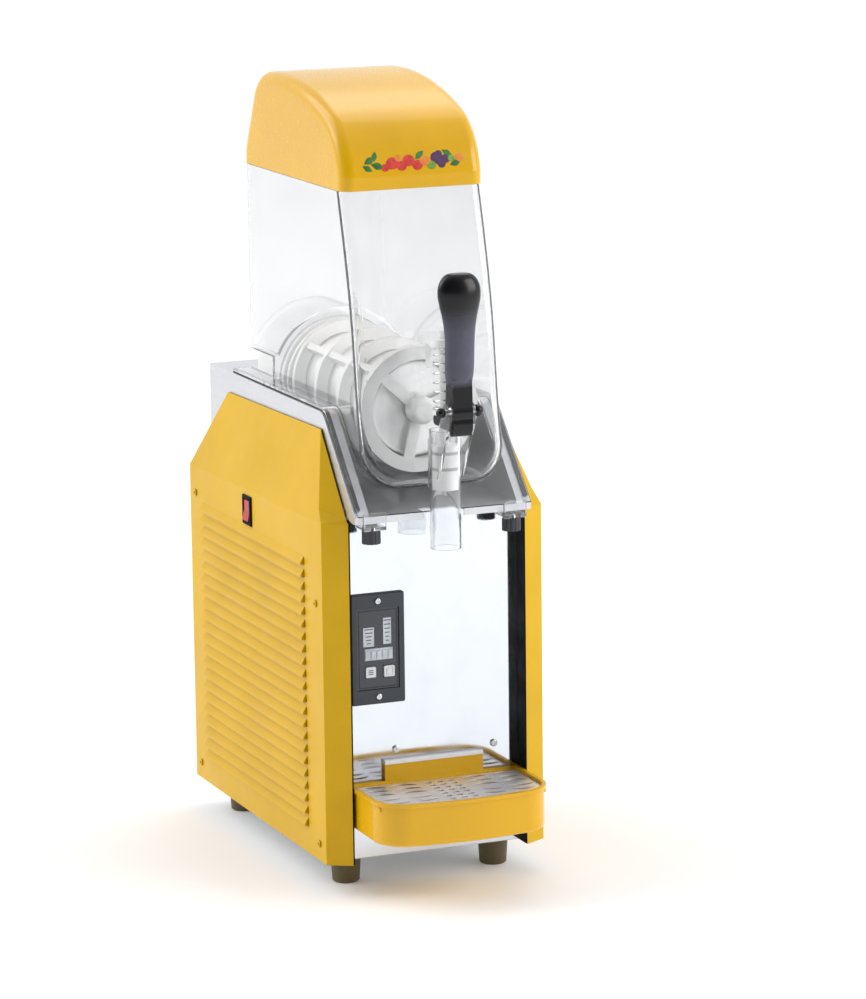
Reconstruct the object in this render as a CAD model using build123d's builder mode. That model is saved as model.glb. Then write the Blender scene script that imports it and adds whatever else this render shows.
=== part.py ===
from build123d import *
import os
from math import cos, pi, sin

# Single-bowl slush machine, in millimetres.
# +Z is up, the front faces -Y and the origin lies on the floor under the
# middle of the machine's outline.

# ---- cabinet ---------------------------------------------------------------
PANEL_HALF = 120.0      # half width over the flat side panels
SHEET = 1.5             # cabinet sheet thickness
PANEL_FRONT = -148.0    # front edge of the side panels
PANEL_BACK = 248.0      # rear edge of the side panels
PANEL_BOTTOM = 32.0     # the feet lift the cabinet this high
BACK_EDGE_TOP = 378.0   # the sides lean inwards above here, at the rear
CREASE = 385.0          # and above here at the front, where the flange ends
EDGE_X = 97.2           # half width along the top edge of the leaning sides
EDGE_FRONT = (-92.0, 470.0)
EDGE_BACK = (184.0, 465.0)
FLANGE_X = 96.0         # inner edge of the front flange
FLANGE_Y = -161.6
FRONT_PLANE = -140.5    # polished front panel, set back between the flanges
GAP = 0.3               # clearance between separate bodies

# ---- louvres and switch ----------------------------------------------------
LOUVRE_ROWS = 22
LOUVRE_PITCH = 13.0
LOUVRE_LOW = 61.0
LOUVRE_START = -98.0
LOUVRE_END = 209.0
LOUVRE_DEPTH = 4.0
SWITCH_Y = 66.0
SWITCH_Z = 360.0

# ---- deck ------------------------------------------------------------------
DECK_TOP = 487.0
DECK_HALF = 95.2
DECK_FRONT = -92.0      # where the level top turns down to the lip
DECK_BACK = 245.8
DECK_REAR_LOW = 380.0
LIP_Y = -179.0
LIP_LOW = 387.0
FLOOR = 394.0           # channel floor that the bowl stands over
CHANNEL_HALF = 80.0
BULKHEAD_Y = 100.0
DECK_BEND = 22.0

# ---- cylinder and auger ----------------------------------------------------
AXIS_Z = 487.0
DRUM_R = 50.0
DRUM_FRONT = -108.0
FLANGE_R = 65.0
AUGER_R = 64.0
AUGER_IN = 51.0
AUGER_FRONT = -112.0
AUGER_BACK = 86.0
SHAFT_R = 6.0

# ---- bowl ------------------------------------------------------------------
BOWL_HALF = 76.75
WALL = 4.0
RIM_STEP = 2.6
BOWL_LOW = 415.0
BOWL_RIM = 722.0
BOWL_BACK = 177.5
OVERHANG = 514.0        # underside of the part that reaches over the motor
CORNER_R = 39.0
FRONT_EDGE_R = 10.0
BACK_EDGE_R = 14.0
OPENING_R = 65.6
TUNNEL_R = 72.0
SEAT = 2.0              # gasket thickness between deck and bowl skirt
SKIRT = 2.5
SKIRT_HALF = 93.5

# ---- lid -------------------------------------------------------------------
LID_LOW = 710.5
LID_BACK = 179.0
LID_FRONT = -111.0
LID_WALL = 2.2

# ---- tap -------------------------------------------------------------------
TAP_Y = -184.0
TUBE_R = 16.0
BORE_R = 13.7
TUBE_LOW = 357.0
TUBE_TOP = 477.0
PIVOT_Y = -222.0
PIVOT_Z = 501.0
COLLAR_LOW = 493.0
SPRING_LOW = 498.0
SPRING_TOP = 561.0
ARM_TIP_Z = 487.6

# ---- drip tray -------------------------------------------------------------
TRAY_HALF = 94.0
TRAY_LOW = 67.5
TRAY_RIM = 112.0
TRAY_BACK = -141.0
TRAY_FRONT = -248.0
TRAY_WALL = 2.0
TRAY_CORNER = 36.0

os.makedirs("parts", exist_ok=True)


def save(part, name):
    part.label = name
    export_step(part, f"parts/{name}.step")


def block(x0, x1, y0, y1, z0, z1):
    """A box between two corners, for use as a finished solid."""
    with BuildPart() as piece:
        with BuildSketch(Plane.XY.offset(z0)):
            with Locations(((x0 + x1) / 2, (y0 + y1) / 2)):
                Rectangle(x1 - x0, y1 - y0)
        extrude(amount=z1 - z0)
    return piece.part


def profile_yz(points, x0, x1):
    """A side outline extruded across the width from x0 to x1."""
    with BuildPart() as piece:
        with BuildSketch(Plane.YZ.offset(x0)):
            Polygon(*points, align=None)
        extrude(amount=x1 - x0)
    return piece.part


def rod_y(x, z, radius, y0, y1):
    """A round bar along Y."""
    with BuildPart() as piece:
        with BuildSketch(Plane.XZ.offset(-y0)):
            with Locations((x, z)):
                Circle(radius)
        extrude(amount=-(y1 - y0))
    return piece.part


def rod_z(x, y, radius, z0, z1):
    """A round bar along Z."""
    with BuildPart() as piece:
        with BuildSketch(Plane.XY.offset(z0)):
            with Locations((x, y)):
                Circle(radius)
        extrude(amount=z1 - z0)
    return piece.part


def rod_x(y, z, radius, x0, x1):
    """A round bar along X."""
    with BuildPart() as piece:
        with BuildSketch(Plane.YZ.offset(x0)):
            with Locations((y, z)):
                Circle(radius)
        extrude(amount=x1 - x0)
    return piece.part


def pan_screw(plane, head_r, head_h, shank_r, shank):
    """A domed screw whose head rises from the plane."""
    with BuildPart() as piece:
        with BuildSketch(plane):
            Circle(head_r)
        extrude(amount=head_h)
        fillet(piece.faces().sort_by(Axis((0, 0, 0), plane.z_dir))[-1].edges(), head_h * 0.6)
        with BuildSketch(plane):
            Circle(shank_r)
        extrude(amount=-shank)
        with BuildSketch(plane.offset(head_h)):
            Rectangle(head_r * 1.1, head_r * 0.25)
            Rectangle(head_r * 0.25, head_r * 1.1)
        extrude(amount=-head_h * 0.45, mode=Mode.SUBTRACT)
    return piece.part


def tube(points, radius, bend):
    """A round pipe along straight runs joined by bends."""
    with BuildPart() as piece:
        with BuildLine() as route:
            FilletPolyline(*points, radius=bend)
        with BuildSketch(Plane(origin=route.line @ 0, z_dir=route.line % 0)):
            Circle(radius)
        sweep(path=route.line)
    return piece.part


# ---- base, feet and cabinet --------------------------------------------------

FEET = [(-82.0, -103.0), (82.0, -103.0), (-82.0, 203.0), (82.0, 203.0)]
MOUNTS = [(-52.0, -78.0), (52.0, -78.0), (-52.0, 22.0), (52.0, 22.0)]


def base_pan():
    edge = 118.3
    with BuildPart() as pan:
        with BuildSketch(Plane.XY.offset(PANEL_BOTTOM)):
            with Locations((0, (FRONT_PLANE + SHEET + 246.0) / 2)):
                Rectangle(2 * edge, 246.0 - FRONT_PLANE - SHEET)
        extrude(amount=14.0)
        with BuildSketch(Plane.XY.offset(PANEL_BOTTOM + 2.0)):
            with Locations((0, (FRONT_PLANE + SHEET + 246.0) / 2)):
                Rectangle(2 * edge - 4.0, 246.0 - FRONT_PLANE - SHEET - 4.0)
        extrude(amount=14.0, mode=Mode.SUBTRACT)
        with BuildSketch(Plane.XY.offset(PANEL_BOTTOM)):
            with Locations(*FEET):
                Circle(4.0)
        extrude(amount=3.0, mode=Mode.SUBTRACT)
    return pan.part


def feet():
    """Four moulded feet, wider at the floor than at the cabinet."""
    with BuildPart() as group:
        for x, y in FEET:
            with BuildSketch(Plane.XY):
                with Locations((x, y)):
                    Circle(14.0)
            with BuildSketch(Plane.XY.offset(PANEL_BOTTOM)):
                with Locations((x, y)):
                    Circle(16.0)
            loft()
        chamfer(group.faces().group_by(Axis.Z)[0].edges(), 1.5)
        with BuildSketch(Plane.XY):
            with Locations(*FEET):
                Circle(8.0)
        extrude(amount=6.0, mode=Mode.SUBTRACT)
        with BuildSketch(Plane.XY):
            with Locations(*FEET):
                Circle(4.0)
        extrude(amount=PANEL_BOTTOM, mode=Mode.SUBTRACT)
    return group.part


def foot_screws():
    with BuildPart() as group:
        with BuildSketch(Plane.XY.offset(2.0)):
            with Locations(*FEET):
                RegularPolygon(6.5, 6)
        extrude(amount=4.0)
        with BuildSketch(Plane.XY.offset(6.0)):
            with Locations(*FEET):
                Circle(3.9)
        extrude(amount=34.0)
    return group.part


def louvre(row):
    """One pressed louvre: a hood over a slot that opens downwards."""
    z = LOUVRE_LOW + row * LOUVRE_PITCH
    with BuildPart() as hood:
        with BuildSketch(Plane.XZ.offset(-LOUVRE_START)):
            Polygon(
                (PANEL_HALF - SHEET, z + 8.6),
                (PANEL_HALF, z + 8.6),
                (PANEL_HALF + LOUVRE_DEPTH, z + 2.2),
                (PANEL_HALF + LOUVRE_DEPTH, z),
                (PANEL_HALF + LOUVRE_DEPTH - 1.3, z),
                (PANEL_HALF - SHEET, z + 6.6),
                align=None,
            )
        extrude(amount=-(LOUVRE_END - LOUVRE_START))
        for y in (LOUVRE_START, LOUVRE_END - SHEET):
            with BuildSketch(Plane.XZ.offset(-y)):
                Polygon(
                    (PANEL_HALF - SHEET, z),
                    (PANEL_HALF - SHEET, z + 8.6),
                    (PANEL_HALF, z + 8.6),
                    (PANEL_HALF + LOUVRE_DEPTH, z + 2.2),
                    (PANEL_HALF + LOUVRE_DEPTH, z),
                    align=None,
                )
            extrude(amount=-SHEET)
    return hood.part


GUSSET_LOW = (116.48, -134.0, 398.0)
GUSSET_TIP = (97.0, -159.0, 388.0)


def facet(corners, thickness):
    """A flat plate through three or four corners, thick on its inner side."""
    a, b, c = [Vector(*corner) for corner in corners[:3]]
    plane = Plane(origin=a, x_dir=b - a, z_dir=(b - a).cross(c - a))
    outline = [plane.to_local_coords(Vector(*corner)) for corner in corners]
    with BuildPart() as piece:
        with BuildSketch(plane):
            Polygon(*[(v.X, v.Y) for v in outline], align=None)
        extrude(amount=-thickness)
    return piece.part


def right_side_panel():
    inner = PANEL_HALF - SHEET
    with BuildPart() as panel:
        with BuildSketch(Plane.YZ.offset(inner)):
            Polygon(
                (PANEL_FRONT, PANEL_BOTTOM),
                (PANEL_BACK, PANEL_BOTTOM),
                (PANEL_BACK, BACK_EDGE_TOP),
                (PANEL_FRONT, CREASE),
                align=None,
            )
        extrude(amount=SHEET)
        # front flange: a slanted strip turned towards the middle
        with BuildSketch(Plane.XY.offset(PANEL_BOTTOM)):
            Polygon(
                (PANEL_HALF, PANEL_FRONT),
                (FLANGE_X, FLANGE_Y),
                (FLANGE_X, FLANGE_Y + 1.8),
                (inner, PANEL_FRONT + 1.0),
                (PANEL_HALF, PANEL_FRONT + 1.0),
                align=None,
            )
        extrude(amount=CREASE - PANEL_BOTTOM)
        # upper part that leans in to the deck, and the corner behind it
        front_foot = (PANEL_HALF, PANEL_FRONT, CREASE)
        back_foot = (PANEL_HALF, PANEL_BACK, BACK_EDGE_TOP)
        front_top = (EDGE_X, *EDGE_FRONT)
        back_top = (EDGE_X, *EDGE_BACK)
        add(facet([front_foot, back_foot, back_top, front_top, GUSSET_LOW], SHEET))
        add(facet([back_foot, (EDGE_X, PANEL_BACK, BACK_EDGE_TOP), back_top], SHEET))
        # gusset that closes the front corner up to the deck
        add(facet([GUSSET_LOW, front_top, GUSSET_TIP], SHEET))
        ledge_back = (GUSSET_LOW[0] - 0.1, GUSSET_LOW[1] + 0.6, GUSSET_LOW[2] + 0.4)
        ledge_tip = (GUSSET_TIP[0] + 0.2, GUSSET_TIP[1] + 0.8, GUSSET_TIP[2] + 0.5)
        add(facet([front_foot, ledge_back, ledge_tip], SHEET))
        add(facet([(FLANGE_X, FLANGE_Y, CREASE), front_foot, ledge_tip], SHEET))
        for row in range(LOUVRE_ROWS):
            z = LOUVRE_LOW + row * LOUVRE_PITCH
            slot = block(inner, PANEL_HALF, LOUVRE_START + SHEET, LOUVRE_END - SHEET, z, z + 6.6)
            add(slot, mode=Mode.SUBTRACT)
        for row in range(LOUVRE_ROWS):
            add(louvre(row))
        for y, z in SIDE_SCREWS:
            add(rod_x(y, z, 1.85, inner - 1.0, PANEL_HALF + 1.0), mode=Mode.SUBTRACT)
    return panel.part


def left_side_panel():
    """Mirror of the right one, with the opening for the mains switch."""
    with BuildPart() as panel:
        add(mirror(right_side_panel(), about=Plane.YZ))
        add(block(-121.0, -118.0, SWITCH_Y - 11.0, SWITCH_Y + 11.0, SWITCH_Z - 14.0, SWITCH_Z + 14.0),
            mode=Mode.SUBTRACT)
    return panel.part


def front_trims():
    """Black strips lining the recess on both sides of the front panel."""
    with BuildPart() as trims:
        for side in (-1, 1):
            x0, x1 = sorted((side * (FLANGE_X - SHEET), side * FLANGE_X))
            add(block(x0, x1, FLANGE_Y, FRONT_PLANE - 0.05, PANEL_BOTTOM + 1.0, CREASE))
    return trims.part


CONTROL_X = -59.0       # middle of the control panel
CONTROL_Z = 250.2
CONTROL_W = 58.0
CONTROL_H = 114.4


def front_panel():
    """Polished sheet with the control opening and the slots for the tray."""
    with BuildPart() as panel:
        with BuildSketch(Plane.XZ.offset(-FRONT_PLANE)):
            with Locations((0, (PANEL_BOTTOM + 1.0 + FLOOR - 2.0) / 2)):
                Rectangle(2 * FLANGE_X - 0.2, FLOOR - PANEL_BOTTOM - 3.0)
            with Locations((CONTROL_X, CONTROL_Z)):
                Rectangle(CONTROL_W - 8.0, CONTROL_H - 24.0, mode=Mode.SUBTRACT)
            with Locations((-30.0, 96.0), (30.0, 96.0)):
                Rectangle(21.0, 3.0, mode=Mode.SUBTRACT)
            with Locations(*FRONT_SCREWS):
                Circle(2.0, mode=Mode.SUBTRACT)
        extrude(amount=-SHEET)
    return panel.part


FRONT_SCREWS = [(-40.0, 143.0), (68.0, 138.0)]


def front_screws():
    with BuildPart() as group:
        for x, z in FRONT_SCREWS:
            add(pan_screw(Plane(origin=(x, FRONT_PLANE, z), z_dir=(0, -1, 0)), 3.8, 2.2, 1.9, 8.0))
    return group.part


SIDE_SCREWS = [(-130.0, 50.0), (-130.0, 300.0), (230.0, 50.0), (230.0, 350.0)]


def side_screws():
    with BuildPart() as group:
        for side in (-1, 1):
            for y, z in SIDE_SCREWS:
                start = Plane(origin=(side * PANEL_HALF, y, z), z_dir=(side, 0, 0))
                add(pan_screw(start, 3.6, 1.8, 1.8, 1.4))
    return group.part


GLAND_X = 104.0
GLAND_Z = 62.0


def rear_panel():
    """Folded back cover with air slots and the hole for the cable gland."""
    half = 118.2
    back = PANEL_BACK - 0.5
    with BuildPart() as cover:
        add(block(-half, half, back - SHEET, back, PANEL_BOTTOM, BACK_EDGE_TOP - 3.0))
        add(block(3.0 - DECK_HALF, DECK_HALF - 3.0, back - SHEET, back, BACK_EDGE_TOP - 3.0, 402.0))
        with BuildSketch(Plane.XZ.offset(-back - 1.0)):
            for row in range(17):
                for x in (-45.0, 45.0):
                    with Locations((x, 120.0 + row * 12.0)):
                        SlotOverall(76.0, 5.0)
            with Locations((GLAND_X, GLAND_Z)):
                Circle(8.0)
        extrude(amount=4.0, mode=Mode.SUBTRACT)
    return cover.part


def cable_gland():
    """Threaded cable entry; the mains cable itself is not part of the model."""
    back = PANEL_BACK - 0.5
    with BuildPart() as gland:
        add(rod_y(GLAND_X, GLAND_Z, 7.9, back - 14.0, back))
        with BuildSketch(Plane.XZ.offset(-(back - SHEET))):
            with Locations((GLAND_X, GLAND_Z)):
                RegularPolygon(11.0, 6)
        extrude(amount=4.0)
        add(rod_y(GLAND_X, GLAND_Z, 4.0, back - 16.0, back + 2.0), mode=Mode.SUBTRACT)
    return gland.part


# ---- deck --------------------------------------------------------------------

def wedge(lower, half, drop=0.0):
    """Deck side outline: level top, rounded bend, steep front slope."""
    with BuildPart() as piece:
        with BuildSketch(Plane.YZ.offset(-half)):
            with BuildLine():
                FilletPolyline(
                    (DECK_BACK - drop, DECK_TOP - drop),
                    (DECK_FRONT + 0.43 * drop, DECK_TOP - drop),
                    (LIP_Y + drop, FLOOR),
                    radius=DECK_BEND,
                )
                Polyline((LIP_Y + drop, FLOOR), *lower, (DECK_BACK - drop, DECK_TOP - drop))
            make_face()
        extrude(amount=2 * half)
    return piece.part


def deck():
    band = [
        (LIP_Y, LIP_LOW),
        (LIP_Y + 9.0, LIP_LOW),
        (-152.0, 392.0),
        (EDGE_FRONT[0] + 6.0, EDGE_FRONT[1] - 8.0),
        (EDGE_BACK[0] - 4.0, EDGE_BACK[1] - 8.0),
        (238.0, DECK_REAR_LOW),
        (DECK_BACK, DECK_REAR_LOW),
    ]
    full = [(LIP_Y + SHEET, 370.0), (DECK_BACK - SHEET, 370.0)]
    wall = [(LIP_Y, FLOOR - SHEET), (BULKHEAD_Y, FLOOR - SHEET), (BULKHEAD_Y, DECK_TOP)]
    with BuildPart() as saddle:
        add(wedge(band, DECK_HALF))
        add(wedge(full, DECK_HALF - SHEET, SHEET), mode=Mode.SUBTRACT)
        add(block(-CHANNEL_HALF, CHANNEL_HALF, LIP_Y - 5.0, BULKHEAD_Y, FLOOR, 520.0),
            mode=Mode.SUBTRACT)
        # channel walls and floor
        trough = wedge(wall, CHANNEL_HALF + SHEET)
        hollow = block(-CHANNEL_HALF, CHANNEL_HALF, LIP_Y - 5.0, BULKHEAD_Y + 1.0, FLOOR, 520.0)
        add(trough - hollow - block(-120.0, 120.0, BULKHEAD_Y, 250.0, 380.0, 520.0))
        # notch for the tap and opening for the gearbox
        add(block(-22.0, 22.0, LIP_Y - 5.0, -162.0, 380.0, 400.0), mode=Mode.SUBTRACT)
        add(block(-60.0, 60.0, BULKHEAD_Y, 172.0, DECK_TOP - 6.0, DECK_TOP + 4.0),
            mode=Mode.SUBTRACT)
    return saddle.part


def strip_over_deck(gap, thickness, half, z_end):
    """A bent sheet that follows the deck's top and front slope at a gap."""
    slope = (Vector(DECK_FRONT, DECK_TOP, 0) - Vector(LIP_Y, FLOOR, 0)).normalized()
    out = Vector(-slope.Y, slope.X, 0)
    outlines = []
    for rise in (gap, gap + thickness):
        foot = Vector(LIP_Y, FLOOR, 0) + out * rise
        along = (DECK_TOP + rise - foot.Y) / slope.Y
        bend = foot + slope * along
        start = foot + slope * ((z_end - foot.Y) / slope.Y)
        outlines.append(((BOWL_BACK, DECK_TOP + rise), (bend.X, bend.Y), (start.X, start.Y)))
    with BuildPart() as strip:
        with BuildSketch(Plane.YZ.offset(-half)):
            with BuildLine():
                FilletPolyline(*outlines[0], radius=DECK_BEND + gap)
                FilletPolyline(*outlines[1], radius=DECK_BEND + gap + thickness)
                Line(outlines[0][0], outlines[1][0])
                Line(outlines[0][2], outlines[1][2])
            make_face()
        extrude(amount=2 * half)
    return strip.part


def deck_gasket():
    """Dark sealing strip on both cheeks, under the edge of the bowl skirt."""
    with BuildPart() as strips:
        add(strip_over_deck(0.0, SEAT - GAP, SKIRT_HALF - 0.4, 400.0))
        add(block(5.0 - SKIRT_HALF, SKIRT_HALF - 5.0, -200.0, 200.0, 380.0, 520.0),
            mode=Mode.SUBTRACT)
    return strips.part


def bulkhead():
    """Upright plate that carries the freezing cylinder."""
    with BuildPart() as plate:
        with BuildSketch(Plane.XZ.offset(-BULKHEAD_Y)):
            with Locations((0, (FLOOR + DECK_TOP) / 2 - 0.5)):
                Rectangle(2 * CHANNEL_HALF + 2 * SHEET, DECK_TOP - FLOOR - 4.0)
            with Locations((0, AXIS_Z)):
                Circle(60.0)
            with Locations((0, AXIS_Z)):
                Circle(11.0, mode=Mode.SUBTRACT)
            with Locations((PIPE_X, PIPE_Z), (-PIPE_X, PIPE_Z)):
                Circle(5.2, mode=Mode.SUBTRACT)
        extrude(amount=-2.5)
    return plate.part


def motor_cover():
    """Arched hood over the gearbox, closed at the back."""
    start = BULKHEAD_Y + 3.5
    with BuildPart() as hood:
        add(rod_y(0, AXIS_Z, 66.0, start, 176.0))
        add(rod_y(0, AXIS_Z, 64.0, start - 1.0, 174.0), mode=Mode.SUBTRACT)
        add(block(-75.0, 75.0, start, 176.0, DECK_TOP, DECK_TOP + 2.0))
        add(block(-59.5, 59.5, start - 1.0, 173.0, DECK_TOP - 1.0, DECK_TOP + 3.0),
            mode=Mode.SUBTRACT)
        add(block(-80.0, 80.0, start - 1.0, 180.0, 400.0, DECK_TOP), mode=Mode.SUBTRACT)
    return hood.part


# ---- control panel and mains switch -------------------------------------------

BEZEL_T = 4.0
FACE_Y = FRONT_PLANE - BEZEL_T


def control_bezel():
    with BuildPart() as bezel:
        with BuildSketch(Plane.XZ.offset(-FRONT_PLANE)):
            with Locations((CONTROL_X, CONTROL_Z)):
                RectangleRounded(CONTROL_W, CONTROL_H, 2.0)
                Rectangle(46.0, 84.0, mode=Mode.SUBTRACT)
        extrude(amount=BEZEL_T)
        chamfer(bezel.faces().sort_by(Axis.Y)[0].outer_wire().edges(), 1.0)
        with BuildSketch(Plane.XZ.offset(-FACE_Y)):
            with Locations(*BEZEL_SCREWS):
                Circle(2.0)
        extrude(amount=-BEZEL_T, mode=Mode.SUBTRACT)
    return bezel.part


BEZEL_SCREWS = [(CONTROL_X, CONTROL_Z + 49.5), (CONTROL_X, CONTROL_Z - 49.5)]
LEFT_WINDOW = (-68.4, 262.6, 12.2, 20.0)
RIGHT_WINDOW = (-48.3, 267.6, 9.0, 27.4)
ICON_ROW = (-57.5, 244.3, 31.0, 12.6)
MODE_BUTTON = (-67.3, 226.5, 10.9)
POWER_BUTTON = (-47.3, 226.2, 11.3)


def bezel_screws():
    with BuildPart() as group:
        for x, z in BEZEL_SCREWS:
            add(pan_screw(Plane(origin=(x, FACE_Y, z), z_dir=(0, -1, 0)), 3.2, 1.6, 1.9, 4.0))
    return group.part


def control_overlay():
    """Inner plate of the control panel with its windows and button openings."""
    with BuildPart() as plate:
        with BuildSketch(Plane.XZ.offset(-FRONT_PLANE)):
            with Locations((CONTROL_X, CONTROL_Z)):
                Rectangle(45.8, 83.8)
            for x, z, width, height in (LEFT_WINDOW, RIGHT_WINDOW, ICON_ROW):
                with Locations((x, z)):
                    Rectangle(width, height, mode=Mode.SUBTRACT)
            for x, z, size in (MODE_BUTTON, POWER_BUTTON):
                with Locations((x, z)):
                    Rectangle(size + 0.8, size + 0.8, mode=Mode.SUBTRACT)
        extrude(amount=2.4)
        with BuildSketch(Plane.XZ.offset(-FRONT_PLANE + 2.4)):
            with Locations((CONTROL_X, CONTROL_Z)):
                Rectangle(42.0, 80.0)
                Rectangle(40.4, 78.4, mode=Mode.SUBTRACT)
        extrude(amount=-0.6, mode=Mode.SUBTRACT)
    return plate.part


def window(spec, depth):
    x, z, width, height = spec
    with BuildPart() as pane:
        with BuildSketch(Plane.XZ.offset(-FRONT_PLANE)):
            with Locations((x, z)):
                Rectangle(width - 0.1, height - 0.1)
        extrude(amount=depth)
    return pane.part


def display_windows():
    with BuildPart() as panes:
        add(window(LEFT_WINDOW, 2.0))
        add(window(RIGHT_WINDOW, 2.0))
    return panes.part


def indicator_row():
    """A bar of small lamp lenses above the buttons."""
    x, z, width, height = ICON_ROW
    with BuildPart() as row:
        add(window(ICON_ROW, 1.6))
        with BuildSketch(Plane.XZ.offset(-FRONT_PLANE + 1.6)):
            with Locations((x, z)):
                with GridLocations(width / 5, 1, 5, 1):
                    Rectangle(4.2, 7.6)
        extrude(amount=0.8)
    return row.part


def button(spec, ring):
    """Square key that travels into the panel."""
    x, z, size = spec
    with BuildPart() as key:
        with BuildSketch(Plane.XZ.offset(-FRONT_PLANE - 0.4 + 1.6)):
            with Locations((x, z)):
                RectangleRounded(size, size, 1.2)
        extrude(amount=3.0)
        if ring:
            with BuildSketch(Plane.XZ.offset(-FRONT_PLANE + 4.2)):
                with Locations((x, z)):
                    Rectangle(size - 3.4, size - 3.4)
                    Rectangle(size - 6.4, size - 6.4, mode=Mode.SUBTRACT)
            extrude(amount=-0.6, mode=Mode.SUBTRACT)
    return key.part


def control_board():
    """Circuit board on four pillars behind the control opening."""
    with BuildPart() as board:
        add(block(-82.0, -36.0, FRONT_PLANE + 9.0, FRONT_PLANE + 10.6, 208.0, 292.0))
        for x in (-78.0, -40.0):
            for z in (212.0, 288.0):
                add(rod_y(x, z, 2.2, FRONT_PLANE + SHEET, FRONT_PLANE + 9.0))
        for x, z, size in (MODE_BUTTON, POWER_BUTTON):
            add(block(x - 3, x + 3, FRONT_PLANE + 4.0, FRONT_PLANE + 9.0, z - 3, z + 3))
        add(block(-74.0, -44.0, FRONT_PLANE + 10.6, FRONT_PLANE + 20.0, 240.0, 276.0))
    return board.part


def switch_housing():
    """Rocker switch body with a thin bezel on the left side panel."""
    outer = -PANEL_HALF
    with BuildPart() as housing:
        add(block(outer - 2.0, outer, SWITCH_Y - 12.5, SWITCH_Y + 12.5, SWITCH_Z - 15.5, SWITCH_Z + 15.5))
        chamfer(housing.faces().sort_by(Axis.X)[0].edges(), 0.8)
        add(block(outer, outer + 22.0, SWITCH_Y - 10.8, SWITCH_Y + 10.8, SWITCH_Z - 13.8, SWITCH_Z + 13.8))
        add(block(outer - 3.0, outer + 14.0, SWITCH_Y - 8.6, SWITCH_Y + 8.6,
                  SWITCH_Z - 12.0, SWITCH_Z + 12.0),
            mode=Mode.SUBTRACT)
        for y in (SWITCH_Y - 5.0, SWITCH_Y + 5.0):
            for z in (SWITCH_Z - 8.0, SWITCH_Z, SWITCH_Z + 8.0):
                add(block(outer + 22.0, outer + 29.0, y - 0.4, y + 0.4, z - 2.5, z + 2.5))
    return housing.part


ROCKER_PIVOT_X = -117.0


def rocker():
    """Bent key that tips about a pin across its middle."""
    with BuildPart() as key:
        with BuildSketch(Plane.XZ.offset(-(SWITCH_Y - 8.2))):
            Polygon(
                (ROCKER_PIVOT_X + 5.0, SWITCH_Z - 4.0),
                (ROCKER_PIVOT_X - 0.5, SWITCH_Z - 11.2),
                (ROCKER_PIVOT_X - 6.4, SWITCH_Z - 10.6),
                (ROCKER_PIVOT_X - 4.3, SWITCH_Z),
                (ROCKER_PIVOT_X - 4.3, SWITCH_Z + 10.6),
                (ROCKER_PIVOT_X + 1.6, SWITCH_Z + 11.2),
                (ROCKER_PIVOT_X + 5.0, SWITCH_Z + 4.0),
                align=None,
            )
        extrude(amount=-16.4)
    return key.part


# ---- drip tray -----------------------------------------------------------------

def tray_outline(inset):
    """Plan of the tray: straight sides, round corners and a bowed front."""
    side = TRAY_HALF - inset
    shoulder = TRAY_FRONT + 11.0 + inset
    back = TRAY_BACK - inset
    with BuildSketch() as plan:
        with BuildLine():
            Polyline((-side, shoulder), (-side, back), (side, back), (side, shoulder))
            ThreePointArc((side, shoulder), (0, TRAY_FRONT + inset), (-side, shoulder))
        make_face()
        fillet(plan.vertices().group_by(Axis.Y)[0], TRAY_CORNER - inset)
    return plan.sketch


def tray_solid(inset, z0, z1):
    with BuildPart() as piece:
        with BuildSketch(Plane.XY.offset(z0)):
            add(tray_outline(inset))
        extrude(amount=z1 - z0)
    return piece.part


def drip_tray():
    with BuildPart() as tray:
        add(tray_solid(2.0, TRAY_LOW, TRAY_RIM))
        fillet(tray.faces().sort_by(Axis.Z)[0].edges(), 4.0)
        add(tray_solid(0.0, TRAY_RIM - 4.0, TRAY_RIM))
        add(tray_solid(2.0 + TRAY_WALL, TRAY_LOW + TRAY_WALL, TRAY_RIM - 5.8), mode=Mode.SUBTRACT)
        add(tray_solid(4.6, TRAY_RIM - 5.8, TRAY_RIM + 1.0), mode=Mode.SUBTRACT)
        # ledges that carry the grille
        for side in (-1, 1):
            x0, x1 = sorted((side * (TRAY_HALF - 10.0), side * (TRAY_HALF - 3.5)))
            add(block(x0, x1, -222.0, -158.0, TRAY_RIM - 9.0, TRAY_RIM - 5.8))
        # raised back that shields the cabinet
        add(block(-54.0, 54.0, TRAY_BACK - 4.6, TRAY_BACK, TRAY_RIM - 5.0, TRAY_RIM + 17.0))
        # tongues that slip into the slots of the front panel
        for x in (-30.0, 30.0):
            add(block(x - 10.0, x + 10.0, TRAY_BACK - 3.0, TRAY_BACK + 12.0, 95.0, 97.0))
        # a pad keeps the back wall in line with the tongues
        add(block(-45.0, 45.0, TRAY_BACK - 2.5, TRAY_BACK, 88.0, 104.0))
    return tray.part


def tray_edging():
    """Pale strip pushed over the raised back of the tray."""
    with BuildPart() as strip:
        add(block(-54.0, 54.0, TRAY_BACK - 5.4, TRAY_BACK, TRAY_RIM + 17.0, TRAY_RIM + 21.5))
        fillet(strip.faces().sort_by(Axis.Z)[-1].edges().sort_by(Axis.Y)[0], 2.0)
    return strip.part


def leaf(length, width, bow):
    """A slot pointed at both ends and bent to one side."""
    with BuildSketch() as slot:
        with BuildLine():
            ThreePointArc((-length / 2, 0), (0, bow + width / 2), (length / 2, 0))
            ThreePointArc((-length / 2, 0), (0, bow - width / 2), (length / 2, 0))
        make_face()
    return slot.sketch


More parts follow.
